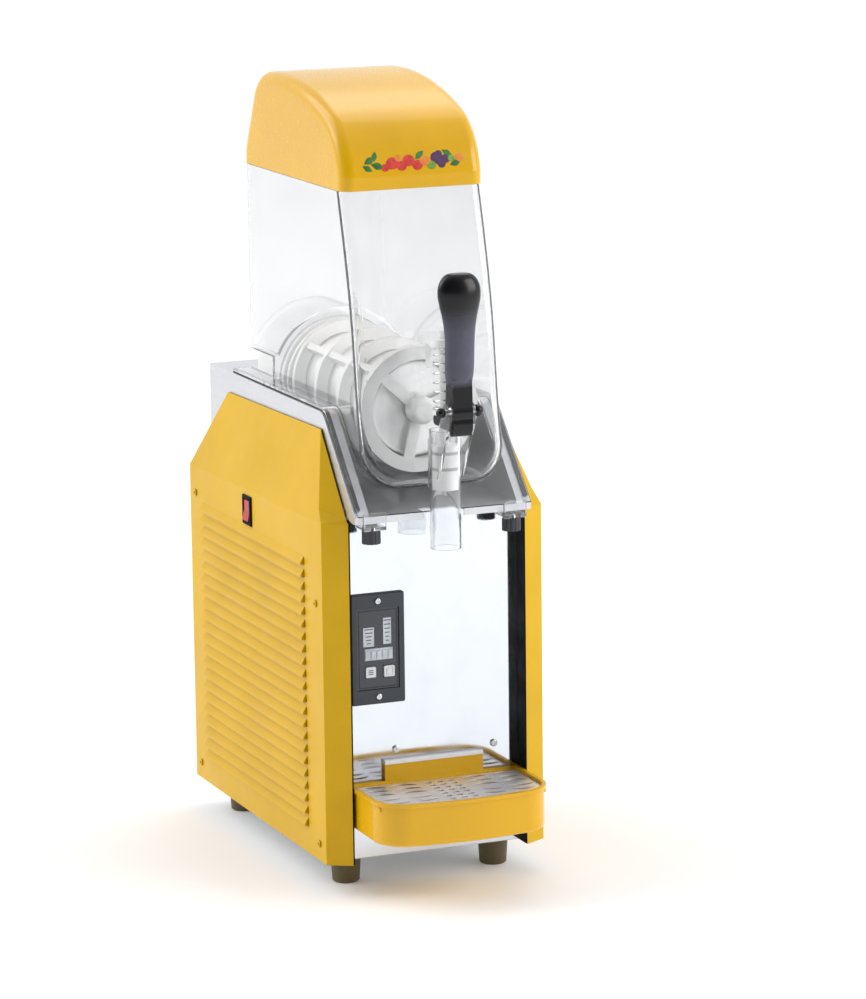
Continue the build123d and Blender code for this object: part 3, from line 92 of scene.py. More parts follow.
# Lid outline in the (y, z) plane: two points of its back, then the crown and the brow
# of its top, and the height where the wall of its front passes into the curve
LID_LOW, LID_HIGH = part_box("lid")
LID_BACK = ((LID_HIGH.y, LID_LOW.z + 8 * MM), (LID_HIGH.y - 3.2 * MM, LID_LOW.z + 22 * MM))
LID_BACK_RUN = 60 * MM
LID_CROWN = (114 * MM, 811 * MM)
LID_BROW = (-60 * MM, 787 * MM)
LID_WALL_TOP = 724 * MM

# Fruit print: x and height above the band's lower edge in millimetres, then size.
# A leaf has its length in millimetres and its turn in radians, a fruit its share of the print size.
LEAVES = ((-46, 10, 14, 0.5), (-38, 4, 15, -0.3), (-49, 2, 12, 2.6), (-40, 14, 11, 1.3),
          (8, 13, 13, 0.7), (38, 14, 12, -0.5), (46, 3, 13, 0.3))
RED_FRUIT = ((-22, 6, 1.25), (-12, 3, 1.0), (-4, 8, 1.2), (5, 3, 1.05), (-30, 2, 0.8))
ORANGE_FRUIT = ((13, 7, 1.0), (-15, 11, 0.7), (51, 8, 0.8))
DARK_FRUIT = ((26, 9, 1.15), (31, 3, 0.8), (36, 8, 0.85), (29, 13, 0.7))
LIME_FRUIT = ((20, 2, 0.9), (42, 8, 0.7))

# Level windows of the control panel: their widths, how far the left one's top lies below
# the right one's, and the right one's height
LEFT_WINDOW_WIDTH = 12.1 * MM
LEFT_WINDOW_DROP = 8.6 * MM
RIGHT_WINDOW_WIDTH = 8.9 * MM
RIGHT_WINDOW_HEIGHT = 27.3 * MM

# Strokes of the mode key's sign: half length, half thickness and spacing
STROKE_REACH = 2.6 * MM
STROKE_HALF = 0.45 * MM
STROKE_STEP = 1.9 * MM

# Return spring of the tap
SPRING_WIRE = 1.1 * MM
SPRING_TURNS = 8
SPRING_FLAT_TURNS = 0.75


# ---- settings ---------------------------------------------------------------

def colour_prop(name, description, default):
    """Colour setting with three channels from 0 to 1."""
    return FloatVectorProperty(name=name, description=description, default=default,
                               subtype="COLOR", min=0.0, max=1.0, size=3)


class CabinetSettings(bpy.types.PropertyGroup):
    """Colours and edges of the cabinet"""
    paint: colour_prop("Paint", "Powder coat of the side panels", (0.70, 0.415, 0.002))
    trim: colour_prop("Trim", "Black moulded trims and knobs", (0.007, 0.008, 0.010))
    edge_round: FloatProperty(name="Edge rounding", unit="LENGTH", default=0.5 * MM, min=0.0, max=0.003,
                              description="Radius that catches light on sheet edges")


class BowlSettings(bpy.types.PropertyGroup):
    """Clear bowl and the white parts in it"""
    tint: colour_prop("Tint", "Tint of the clear bowl", (0.955, 0.96, 0.965))
    clearness: FloatProperty(name="Clearness", description="How much of the light passes through the wall",
                             default=0.97, min=0.0, max=1.0, subtype="FACTOR")
    auger: colour_prop("Auger", "White moulded auger and hood", (0.86, 0.86, 0.85))


class LidSettings(bpy.types.PropertyGroup):
    """Lid plastic and its printed band"""
    plastic: colour_prop("Plastic", "Yellow gloss moulding of lid and tray", (0.76, 0.42, 0.002))
    band_low: FloatProperty(name="Print height", default=20 * MM, unit="LENGTH", min=0.0, max=0.05,
                            description="Lower edge of the fruit print above the lid rim")
    print_size: FloatProperty(name="Print size", description="Overall size of one printed fruit",
                              default=11 * MM, unit="LENGTH", min=0.002, max=0.03)


class StageSettings(bpy.types.PropertyGroup):
    """Floor, light and lens"""
    floor: colour_prop("Floor", "Plain pale floor", (0.93, 0.93, 0.93))
    glow: FloatProperty(name="Floor glow", description="Light that the pale table gives out itself",
                        default=0.10, min=0.0, max=2.0)
    reach: FloatProperty(name="Floor radius", description="Radius of the floor disc",
                         default=30.0, unit="LENGTH", min=5.0, max=100.0)
    lens: FloatProperty(name="Lens", description="Focal length of the camera",
                        default=156.42, unit="CAMERA", min=20.0, max=400.0)
    key: FloatProperty(name="Key light", description="Power of the front-right softbox",
                       default=55.0, unit="POWER", min=0.0, max=2000.0)
    sun: FloatProperty(name="Sky panel", description="Strength of the broad light from the left and behind",
                       default=1.2, min=0.0, max=20.0)
    sky: FloatProperty(name="Room", description="Brightness of the pale room",
                       default=0.95, min=0.0, max=5.0)


# ---- shader helpers -----------------------------------------------------------

class Nodes:
    """Short calls for the nodes that the materials share."""

    def __init__(self, name):
        self.material = bpy.data.materials.new(name)
        self.material.use_nodes = True
        self.tree = self.material.node_tree
        self.shader = self.tree.nodes["Principled BSDF"]
        self.place = self.tree.nodes.new("ShaderNodeTexCoord").outputs["Object"]

    def new(self, kind, **inputs):
        """A node of that kind with its inputs set or linked; _ stands for a space."""
        node = self.tree.nodes.new(kind)
        for key, value in inputs.items():
            self.put(node.inputs[key.replace("_", " ")], value)
        return node

    def put(self, socket, value):
        """Links a socket to an input, or sets the input's value."""
        if isinstance(value, bpy.types.NodeSocket):
            self.tree.links.new(value, socket)
        else:
            socket.default_value = value

    def mapped(self, scale=(1, 1, 1), turn=(0, 0, 0)):
        """Object coordinates, scaled and then turned."""
        node = self.new("ShaderNodeMapping", Vector=self.place, Scale=scale, Rotation=turn)
        return node.outputs["Vector"]

    def noise(self, size, detail=3.0, rough=0.5, stretch=(1, 1, 1)):
        """Noise whose blotches are about size metres across."""
        vector = self.mapped(stretch) if stretch != (1, 1, 1) else self.place
        node = self.new("ShaderNodeTexNoise", Vector=vector, Scale=1.0 / size, Detail=detail,
                        Roughness=rough)
        return node.outputs["Fac"]

    def remap(self, value, low, high, to_low, to_high):
        """The value taken from the range low to high onto the range to_low to to_high."""
        node = self.new("ShaderNodeMapRange", Value=value)
        for key, v in zip(("From Min", "From Max", "To Min", "To Max"), (low, high, to_low, to_high)):
            node.inputs[key].default_value = v
        return node.outputs["Result"]

    def blend(self, factor, a, b):
        """Colour a where the factor is nought, colour b where it is one."""
        node = self.tree.nodes.new("ShaderNodeMix")
        node.data_type = "RGBA"
        self.put(node.inputs["Factor"], factor)
        for key, value in (("A", a), ("B", b)):
            socket = [s for s in node.inputs if s.name == key and s.type == "RGBA"][0]
            self.put(socket, (*value, 1.0) if isinstance(value, tuple) and len(value) == 3 else value)
        return [s for s in node.outputs if s.type == "RGBA"][0]

    def clouded(self, noise, colour, dark, light, low=0.35, high=0.65):
        """Colour that goes from a dark to a light shade of itself over a noise."""
        share = self.remap(noise, low, high, 0.0, 1.0)
        return self.blend(share, shade(colour, dark), shade(colour, light))

    def maths(self, operation, a, b=0.0):
        """Two values put through a maths operation."""
        node = self.tree.nodes.new("ShaderNodeMath")
        node.operation = operation
        self.put(node.inputs[0], a)
        self.put(node.inputs[1], b)
        return node.outputs[0]

    def bump(self, height, distance, strength=1.0, after=None):
        """Normal tilted by a height, on top of an earlier normal if there is one."""
        node = self.new("ShaderNodeBump", Height=height, Distance=distance, Strength=strength)
        if after is not None:
            self.put(node.inputs["Normal"], after)
        return node.outputs["Normal"]

    def soft_edges(self, radius):
        """Normal rounded over the edges to that radius."""
        node = self.new("ShaderNodeBevel", Radius=radius)
        node.samples = 6
        return node.outputs["Normal"]

    def fold_shade_mask(self, reach):
        """Mask for painted shade: one on open faces, falling to nought in folds narrower than reach."""
        node = self.new("ShaderNodeAmbientOcclusion", Distance=reach)
        node.samples = 6
        return self.remap(node.outputs["AO"], 0.35, 0.85, 0.0, 1.0)

    def finish(self, **values):
        """Sets or links the surface's own inputs and gives the material."""
        for key, value in values.items():
            self.put(self.shader.inputs[key.replace("_", " ")], value)
        return self.material


def shade(colour, factor):
    """Colour times a factor, at most one in each channel."""
    return tuple(min(1.0, c * factor) for c in colour)


def paint_finish():
    """Powder coat: fine orange peel, faint clouding, smears in the gloss and painted shade that darkens the
    folds.
    """
    settings = bpy.context.scene.slush_cabinet
    n = Nodes("yellow_powder_coat")
    colour = tuple(settings.paint)
    cloud = n.noise(0.11, 4.0, 0.55)
    fleck = n.noise(0.0009, 2.0)
    tone = n.clouded(cloud, colour, 0.95, 1.05)
    tone = n.blend(n.remap(fleck, 0.45, 0.75, 0.0, 0.25), tone, shade(colour, 0.82))
    peel = n.noise(0.0021, 2.0, 0.45)
    edge = n.soft_edges(settings.edge_round)
    normal = n.bump(peel, 0.00006, 0.55, edge)
    smear = n.noise(0.05, 5.0, 0.6)
    # painted shade: the paint's colour falls to three tenths of itself in folds narrower than 5 mm, where
    # shadow lies
    painted_fold_shade = n.fold_shade_mask(5 * MM)
    tone = n.blend(painted_fold_shade, shade(colour, 0.30), tone)
    return n.finish(Base_Color=tone, Normal=normal, Specular_IOR_Level=0.22, Coat_Weight=0.05,
                    Coat_Roughness=0.2, Roughness=n.remap(smear, 0.3, 0.7, 0.36, 0.48))


def gloss_yellow():
    """Injection-moulded gloss plastic with shallow flow marks and hairline scuffs."""
    settings = bpy.context.scene.slush_lid
    n = Nodes("yellow_gloss_plastic")
    colour = tuple(settings.plastic)
    cloud = n.noise(0.09, 3.0, 0.5, (1.0, 0.5, 1.0))
    tone = n.clouded(cloud, colour, 0.965, 1.035)
    wave = n.noise(0.03, 1.0)
    grain = n.noise(0.0012, 2.0)
    normal = n.bump(wave, 0.0004, 0.12, n.soft_edges(0.7 * MM))
    normal = n.bump(grain, 0.00002, 0.3, normal)
    scuff = n.noise(0.004, 6.0, 0.7, (6.0, 1.0, 1.0))
    return n.finish(Base_Color=tone, Normal=normal, Specular_IOR_Level=0.3, Coat_Weight=0.25,
                    Coat_Roughness=0.12, Subsurface_Weight=0.04, Subsurface_Radius=(0.004, 0.002, 0.0005),
                    Roughness=n.remap(scuff, 0.35, 0.75, 0.20, 0.32))


def clear_finish():
    """Clear polycarbonate: refracting, faintly smoky, with haze and fine wipe marks in its tint.

    Shadow rays mostly pass through it, so that what stands in the bowl is lit.
    """
    settings = bpy.context.scene.slush_bowl
    n = Nodes("clear_polycarbonate")
    tint = tuple(settings.tint)
    haze = n.noise(0.06, 4.0, 0.6)
    scratch = n.noise(0.0016, 5.0, 0.7, (1.0, 1.0, 0.12))
    tone = n.clouded(haze, tint, 1.0, 0.965, high=0.7)
    tone = n.blend(n.remap(scratch, 0.6, 0.9, 0.0, 0.5), tone, shade(tint, 0.93))
    wave = n.noise(0.05, 2.0)
    normal = n.bump(wave, 0.0005, 0.06)
    shadow = n.tree.nodes.new("ShaderNodeLightPath").outputs["Is Shadow Ray"]
    alpha = n.remap(shadow, 0.0, 1.0, 1.0, 0.12)
    return n.finish(Base_Color=tone, Normal=normal, Transmission_Weight=settings.clearness, IOR=1.5,
                    Alpha=alpha, Roughness=0.0)


def steel_finish(name, colour, rough, along, strength=0.35):
    """Brushed steel: long fine strokes along one axis and a few deeper scratches."""
    n = Nodes(name)
    fine = n.noise(0.0009, 3.0, 0.6, along)
    broad = n.noise(0.006, 2.0, 0.5, along)
    stain = n.noise(0.08, 4.0, 0.6)
    stroke = n.maths("ADD", n.maths("MULTIPLY", fine, 0.7), n.maths("MULTIPLY", broad, 0.3))
    tone = n.clouded(stroke, colour, 0.93, 1.04)
    tone = n.blend(n.remap(stain, 0.5, 0.75, 0.0, 0.3), tone, shade(colour, 0.9))
    normal = n.bump(stroke, 0.00003, strength, n.soft_edges(0.4 * MM))
    return n.finish(Base_Color=tone, Metallic=1.0, Normal=normal,
                    Roughness=n.remap(stroke, 0.3, 0.7, rough * 0.8, rough * 1.25))


def mirror_finish():
    """Mirror-polished sheet with faint polishing lines and finger smears."""
    n = Nodes("polished_stainless")
    line = n.noise(0.0012, 3.0, 0.6, (0.03, 1.0, 1.0))
    smear = n.noise(0.045, 5.0, 0.62)
    wave = n.noise(0.12, 1.0)
    normal = n.bump(line, 0.00001, 0.12, n.soft_edges(0.4 * MM))
    normal = n.bump(wave, 0.0006, 0.05, normal)
    tone = n.blend(n.remap(smear, 0.45, 0.7, 0.0, 0.35), (0.69, 0.72, 0.76), (0.60, 0.63, 0.68))
    return n.finish(Base_Color=tone, Metallic=1.0, Normal=normal,
                    Roughness=n.remap(smear, 0.4, 0.75, 0.05, 0.13))


def moulded(name, colour, rough, grain=0.0011, depth=0.00004, coat=0.0, mottle=0.06, level=0.5):
    """Moulded plastic or rubber with spark-eroded grain and slight clouding."""
    n = Nodes(name)
    cloud = n.noise(0.035, 4.0, 0.55)
    tone = n.clouded(cloud, colour, 1.0 - mottle, 1.0 + mottle)
    pores = n.noise(grain, 3.0, 0.6)
    tone = n.blend(n.remap(pores, 0.5, 0.8, 0.0, 0.35), tone, shade(colour, 0.75))
    wear = n.noise(0.02, 5.0, 0.65)
    normal = n.bump(pores, depth, 0.5, n.soft_edges(0.5 * MM))
    return n.finish(Base_Color=tone, Normal=normal, Coat_Weight=coat, Coat_Roughness=0.1,
                    Specular_IOR_Level=level,
                    Roughness=n.remap(wear, 0.3, 0.7, rough * 0.85, min(1.0, rough * 1.2)))


def grip_finish():
    """Black lever, glossy at the knob, with a painted blue-grey highlight along the grip.

    The painted highlight's share rises over the first of two heights down the lever and falls again over
    the second, each taken as a share of the lever's height.
    """
    low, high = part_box("tap_handle")
    tall = high.z - low.z
    n = Nodes("handle_plastic")
    depth = n.maths("SUBTRACT", high.z, n.new("ShaderNodeSeparateXYZ", Vector=n.place).outputs["Z"])
    # painted highlight: a blue-grey band down the grip stands for light on the lever's front face; the same
    # band is also rougher
    painted_grip_highlight = n.maths("MULTIPLY", n.remap(depth, tall * 0.20, tall * 0.36, 0.0, 1.0),
                     n.remap(depth, tall * 0.66, tall * 0.70, 1.0, 0.0))
    painted_grip_highlight = n.maths("MULTIPLY", painted_grip_highlight, n.remap(n.noise(0.012, 4.0, 0.6), 0.3, 0.7, 0.8, 1.0))
    tone = n.blend(painted_grip_highlight, (0.005, 0.005, 0.006), (0.085, 0.085, 0.118))
    pores = n.noise(0.0009, 3.0, 0.6)
    normal = n.bump(pores, 0.00002, 0.5, n.soft_edges(0.5 * MM))
    return n.finish(Base_Color=tone, Normal=normal, Specular_IOR_Level=0.35,
                    Roughness=n.remap(painted_grip_highlight, 0.0, 1.0, 0.22, 0.42))


def cast_finish(name, colour, rough):
    """Cast or galvanised metal with a spangled, slightly pitted skin."""
    n = Nodes(name)
    cells = n.new("ShaderNodeTexVoronoi", Vector=n.place, Scale=160.0)
    pits = n.noise(0.0015, 4.0, 0.6)
    tone = n.clouded(cells.outputs["Distance"], colour, 0.86, 1.08, low=0.0, high=0.8)
    normal = n.bump(pits, 0.00008, 0.5, n.soft_edges(0.4 * MM))
    return n.finish(Base_Color=tone, Metallic=1.0, Normal=normal,
                    Roughness=n.remap(pits, 0.3, 0.7, rough * 0.8, rough * 1.2))


def board_finish():
    """Solder mask with copper tracks under it."""
    n = Nodes("circuit_board")
    tracks = n.new("ShaderNodeTexBrick", Vector=n.mapped((1, 1, 1), (math.pi / 2, 0, 0)), Scale=180.0)
    for key, value in (("Color1", (0.01, 0.14, 0.05, 1)), ("Color2", (0.012, 0.17, 0.06, 1)),
                       ("Mortar", (0.03, 0.30, 0.12, 1))):
        tracks.inputs[key].default_value = value
    normal = n.bump(tracks.outputs["Fac"], 0.00005, 0.4, n.soft_edges(0.3 * MM))
    return n.finish(Base_Color=tracks.outputs["Color"], Normal=normal, Roughness=0.3)


def lens_finish():
    """Smoked display lens with a soft printed raster behind it."""
    n = Nodes("display_lens")
    raster = n.new("ShaderNodeTexWave", Vector=n.place, Scale=330.0)
    raster.bands_direction = "Z"
    glow = n.noise(0.012, 2.0)
    tone = n.blend(n.remap(raster.outputs["Fac"], 0.2, 0.9, 0.0, 0.5),
                   (0.52, 0.55, 0.60), (0.30, 0.33, 0.38))
    tone = n.blend(n.remap(glow, 0.4, 0.7, 0.0, 0.5), tone, (0.72, 0.75, 0.78))
    return n.finish(Base_Color=tone, Roughness=0.16, Coat_Weight=0.7, Coat_Roughness=0.04)


def print_finish(name, dark, light):
    """Screen-printed ink, clouded from dark to light, with a fine dot raster."""
    n = Nodes(name)
    patch = n.noise(0.006, 3.0, 0.6)
    dots = n.new("ShaderNodeTexVoronoi", Vector=n.place, Scale=1400.0)
    tone = n.blend(n.remap(patch, 0.3, 0.7, 0.0, 1.0), dark, light)
    tone = n.blend(n.remap(dots.outputs["Distance"], 0.0, 0.6, 0.25, 0.0), tone, dark)
    return n.finish(Base_Color=tone, Roughness=0.3, Coat_Weight=0.5, Coat_Roughness=0.06)


def floor_finish():
    """Matt pale floor with barely visible mottling and a slight glow of its own."""
    settings = bpy.context.scene.slush_stage
    n = Nodes("studio_floor")
    colour = tuple(settings.floor)
    mottle = n.noise(0.6, 4.0, 0.6)
    tone = n.clouded(mottle, colour, 0.99, 1.01, low=0.3, high=0.7)
    return n.finish(Base_Color=tone, Roughness=0.8, Specular_IOR_Level=0.15,
                    Emission_Color=(1.0, 1.0, 1.0, 1.0), Emission_Strength=settings.glow)


# ---- mesh helpers -----------------------------------------------------------------

def face_mesh(name, points, faces, material, smooth=True):
    """Points and faces as a mesh object in the scene."""
    mesh = bpy.data.meshes.new(name)
    mesh.from_pydata(points.tolist(), [], [[int(corner) for corner in face] for face in faces])
    mesh.polygons.foreach_set("use_smooth", np.full(len(mesh.polygons), smooth))
    mesh.materials.append(material)
    mesh.update()
    thing = bpy.data.objects.new(name, mesh)
    bpy.context.scene.collection.objects.link(thing)
    return thing


def join_grids(name, grids, material, smooth=True):
    """Several equal-sized grids of points as one mesh."""
    stack = np.stack(grids)
    count, rows, cols = stack.shape[:3]
    index = np.arange(rows * cols).reshape(rows, cols)
    one = np.stack([index[:-1, :-1], index[:-1, 1:], index[1:, 1:], index[1:, :-1]], axis=-1).reshape(-1, 4)
    faces = (one[None] + (np.arange(count) * rows * cols)[:, None, None]).reshape(-1, 4)
    return face_mesh(name, stack.reshape(-1, 3), faces, material, smooth)


def tube(name, path, radial, wire, material, sides=14):
    """Round wire along a path: a ring of points round each path point, in the plane
    of the outward direction there and its cross product with the path's heading,
    and a flat face over each end."""
    heading = np.gradient(path, axis=0)
    heading /= np.linalg.norm(heading, axis=1, keepdims=True)
    across = np.cross(heading, radial)
    across /= np.linalg.norm(across, axis=1, keepdims=True)
    outward = np.cross(across, heading)
    phi = np.linspace(0.0, 2 * np.pi, sides, endpoint=False)[None, :, None]
    rings = path[:, None] + wire * (np.cos(phi) * outward[:, None] + np.sin(phi) * across[:, None])
    index = np.arange(len(path) * sides).reshape(-1, sides)
    turned = np.roll(index, -1, axis=1)
    faces = np.stack([index[:-1], turned[:-1], turned[1:], index[1:]], axis=-1).reshape(-1, 4).tolist()
    faces += [index[0][::-1].tolist(), index[-1].tolist()]
    return face_mesh(name, rings.reshape(-1, 3), faces, material)


def give(node, material):
    """A CAD node takes one material; its mesh stays as it is."""
    mesh = NODES[node].data
    mesh.materials.clear()
    mesh.materials.append(material)


def give_all(nodes, material):
    """Several CAD nodes take the same material."""
    for node in nodes:
        give(node, material)


# ---- lid curve -------------------------------------------------------------------

def tangent_arc(start, heading, end):
    """Arc that leaves start along heading and passes through end: centre, radius, end heading."""
    chord = end - start
    side = np.array([-heading[1], heading[0]])
    radius = chord @ chord / (2 * (chord @ side))
    unit = chord / np.linalg.norm(chord)
    return start + side * radius, radius, 2 * (heading @ unit) * unit - heading


def lid_nose():
    """Arc of the lid's front, as (centre, radius) in the (y, z) plane, in metres.

    The outline starts upwards at the lower back point, bends to the upper one, runs
    straight, and then goes over crown and brow to the front wall in touching arcs.
    """
    start, point, crown, brow = map(np.array, (*LID_BACK, LID_CROWN, LID_BROW))
    heading = tangent_arc(start, np.array([0.0, 1.0]), point)[2]
    point = point + heading * LID_BACK_RUN
    heading = tangent_arc(point, heading, crown)[2]
    heading = tangent_arc(crown, heading, brow)[2]
    centre, radius, _ = tangent_arc(brow, heading, np.array([LID_LOW.y, LID_WALL_TOP]))
    return centre, abs(radius)


def on_lid(x, height, lift):
    """Points on the lid front at x and at a height along the surface above the rim.

    The front is a straight wall and then an arc, so past the wall's top the height
    is turned into an angle. lift moves the points off the surface.
    """
    centre, radius = lid_nose()
    wall = LID_WALL_TOP - LID_LOW.z
    start = math.atan2(LID_WALL_TOP - centre[1], LID_LOW.y - centre[0])
    angle = start - np.maximum(height - wall, 0.0) / radius
    y = np.where(height < wall, LID_LOW.y - lift, centre[0] + (radius + lift) * np.cos(angle))
    z = np.where(height < wall, LID_LOW.z + height, centre[1] + (radius + lift) * np.sin(angle))
    return np.stack([x + 0 * y, y, z], axis=-1)


def blob(cx, cy, width, height, turn=0.0, point=0.0, lift=0.12 * MM, rings=7, spokes=28):
    """Printed patch on the lid: an ellipse, pinched to a point where point is 1.

    At angle t the height of the ellipse is cut by point times the power 1.5 of the
    cosine's size, and the patch is domed by a twentieth of a millimetre.
    """
    r = np.linspace(0.0, 1.0, rings)[:, None]
    t = np.linspace(0.0, 2 * np.pi, spokes)[None, :]
    u = r * np.cos(t) * width / 2
    v = r * np.sin(t) * height / 2 * (1.0 - point * np.abs(np.cos(t)) ** 1.5)
    x = cx + u * math.cos(turn) - v * math.sin(turn)
    h = cy + u * math.sin(turn) + v * math.cos(turn)
    return on_lid(x, h, lift + 0.05 * MM * (1 - r**2) + 0 * t)


# ---- operators ---------------------------------------------------------------------

class SLUSH_OT_stage(bpy.types.Operator):
    """Floor, softboxes, sky and camera"""
    bl_idname = "slush.stage"
    bl_label = "Stage"

    def execute(self, context):
        settings = context.scene.slush_stage
        t = np.linspace(0.0, 2 * np.pi, 97)[None, :]
        r = np.linspace(0.0, 1.0, 5)[:, None] * settings.reach
        points = np.stack([r * np.sin(t), r * np.cos(t), 0 * r * t], axis=-1)
        floor = join_grids("floor", [points], floor_finish())
        middle = (CAD_LOW + CAD_HIGH) / 2
        for name, place, size, share in SOFTBOXES:
            light = bpy.data.lights.new(name, "AREA")
            light.shape, light.size, light.energy = "SQUARE", size, settings.key * share
            self.lamp(light, middle - Vector(place), place)
        sun = bpy.data.lights.new("sky_panel", "SUN")
        sun.energy, sun.angle = settings.sun, math.radians(SKY_PANEL_SPREAD)
        self.lamp(sun, Vector(SKY_PANEL_HEADING))
        context.scene.world = self.sky(settings.sky)
        context.scene.view_settings.view_transform = "Standard"
        context.scene.camera = self.camera(settings.lens)
        return {"FINISHED"}

    @staticmethod
    def lamp(light, heading, place=(0.0, 0.0, 0.0)):
        """A light in the scene, shining along a heading."""
        lamp = bpy.data.objects.new(light.name, light)
        lamp.location = place
        lamp.rotation_euler = heading.to_track_quat("-Z", "Y").to_euler()
        bpy.context.scene.collection.objects.link(lamp)

    @staticmethod
    def camera(lens):
        """Camera on the line from its target that its azimuth and elevation give, then rolled."""
        camera = bpy.data.cameras.new("camera")
        camera.lens = lens
        camera.sensor_width = 36.0
        camera.clip_start, camera.clip_end = 0.1, 200.0
        view = bpy.data.objects.new("camera", camera)
        azimuth, elevation, roll = map(math.radians, (CAMERA_AZIMUTH, CAMERA_ELEVATION, CAMERA_ROLL))
        back = Vector((-math.sin(azimuth) * math.cos(elevation), -math.cos(azimuth) * math.cos(elevation),
                       math.sin(elevation)))
        turn = (-back).to_track_quat("-Z", "Y").to_matrix() @ Matrix.Rotation(roll, 3, "Z")
        view.matrix_world = Matrix.LocRotScale(Vector(CAMERA_TARGET) + back * CAMERA_DISTANCE, turn, None)
        bpy.context.scene.collection.objects.link(view)
        return view

    @staticmethod
    def sky(strength):
        """Even pale room with one dimmer side: as the dot of the view direction with
        the dim direction rises, the brightness falls smoothly to its dim share."""
        world = bpy.data.worlds.new("room")
        world.use_nodes = True
        tree = world.node_tree
        direction = tree.nodes.new("ShaderNodeTexCoord").outputs["Generated"]
        dot = tree.nodes.new("ShaderNodeVectorMath")
        dot.operation = "DOT_PRODUCT"
        dot.inputs[1].default_value = Vector(DIM_SIDE).normalized()
        tree.links.new(direction, dot.inputs[0])
        dim = tree.nodes.new("ShaderNodeMapRange")
        dim.interpolation_type = "SMOOTHSTEP"
        for key, value in (("From Min", 0.15), ("From Max", 0.95), ("To Min", strength),
                           ("To Max", strength * DIM_SHARE)):
            dim.inputs[key].default_value = value
        tree.links.new(dot.outputs["Value"], dim.inputs["Value"])
        background = tree.nodes["Background"]
        background.inputs["Color"].default_value = (0.97, 0.98, 1.0, 1.0)
        tree.links.new(dim.outputs["Result"], background.inputs["Strength"])
        return world


class SLUSH_OT_cabinet(bpy.types.Operator):
    """Powder-coated panels, front panel, trims, feet and fasteners"""
    bl_idname = "slush.cabinet"
    bl_label = "Cabinet"

    def execute(self, context):
        trim = tuple(context.scene.slush_cabinet.trim)
        give_all(("left_side_panel", "right_side_panel", "side_screws"), paint_finish())
        give_all(("front_trims", "cable_gland", "switch_housing", "electrical_box", "fan_blade"),
                 moulded("black_moulding", trim, 0.55, level=0.06))
        give("front_panel", mirror_finish())
        give_all(("front_screws", "bezel_screws", "foot_screws", "tap_pin"),
                 steel_finish("plated_screws", (0.70, 0.70, 0.71), 0.28, (1, 1, 1)))
        give("rear_panel", steel_finish("rear_stainless", (0.66, 0.67, 0.68), 0.34, (0.04, 1, 1)))
        give("feet", moulded("olive_rubber", (0.115, 0.088, 0.035), 0.55, 0.0014, 0.00009))
        give("base_pan", cast_finish("galvanised_sheet", (0.55, 0.57, 0.58), 0.42))
        give("rocker", moulded("red_rocker", (0.46, 0.012, 0.010), 0.3, coat=0.15, level=0.3))
        return {"FINISHED"}


class SLUSH_OT_deck(bpy.types.Operator):
    """Stainless deck, bulkhead and the gasket under the bowl skirt"""
    bl_idname = "slush.deck"
    bl_label = "Deck"

    def execute(self, context):
        give("deck", steel_finish("deck_stainless", (0.68, 0.69, 0.71), 0.45, (1, 0.03, 1)))
        give("bulkhead", steel_finish("bulkhead_stainless", (0.72, 0.73, 0.74), 0.26, (0.03, 1, 1)))
        give_all(("deck_gasket", "compressor_mounts"), moulded("dark_gasket", (0.02, 0.021, 0.024), 0.6))
        return {"FINISHED"}


class SLUSH_OT_controls(bpy.types.Operator):
    """Control panel plate, windows, lamps and keys with plain signs"""
    bl_idname = "slush.controls"
    bl_label = "Controls"

    def execute(self, context):
        give("control_bezel", moulded("panel_plate", (0.030, 0.036, 0.045), 0.38, 0.0007, 0.00003))
        give("control_overlay", moulded("panel_film", (0.022, 0.026, 0.034), 0.24, 0.0006, 0.00001, 0.4))
        give_all(("display_windows", "indicator_row"), lens_finish())
        give_all(("button_mode", "button_power"), moulded("pale_keys", (0.72, 0.74, 0.76), 0.35))
        give("control_board", board_finish())
        self.signs()
        return {"FINISHED"}

    def signs(self):
        """Plain signs: level bars in each window and three strokes on the mode key.

        Bar k of a window stands (k + 3/4) steps up, where half a step more than the
        number of bars fills the window, and its half width grows with k.
        """
        ink = print_finish("sign_ink", (0.035, 0.04, 0.05), (0.06, 0.065, 0.08))
        low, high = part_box("display_windows")
        bars = []
        for x0, x1, bottom, top, count in (
                (low.x, low.x + LEFT_WINDOW_WIDTH, low.z, high.z - LEFT_WINDOW_DROP, 5),
                (high.x - RIGHT_WINDOW_WIDTH, high.x, high.z - RIGHT_WINDOW_HEIGHT, high.z, 6)):
            for k in range(count):
                z = bottom + (k + 0.75) * (top - bottom) / (count + 0.5)
                half = (x1 - x0) * (0.18 + 0.05 * k)
                middle = (x0 + x1) / 2
                bars.append(self.patch(middle - half, middle + half, z, z + 1.1 * MM, low.y))
        signs = join_grids("level_bars", bars, ink, smooth=False)
        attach(signs, "cabinet")
        low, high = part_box("button_mode")
        middle = (low + high) / 2
        strokes = [self.patch(middle.x - STROKE_REACH, middle.x + STROKE_REACH,
                              middle.z + k * STROKE_STEP - STROKE_HALF,
                              middle.z + k * STROKE_STEP + STROKE_HALF, low.y) for k in (-1, 0, 1)]
        mark = join_grids("mode_sign", strokes, ink, smooth=False)
        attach(mark, "mode_key")

    @staticmethod
    def patch(x0, x1, z0, z1, y):
        """Flat rectangle facing the front, 0.06 mm proud."""
        x, z = np.meshgrid([x0, x1], [z0, z1])
        return np.stack([x, np.full_like(x, y - 0.06 * MM), z], axis=-1)


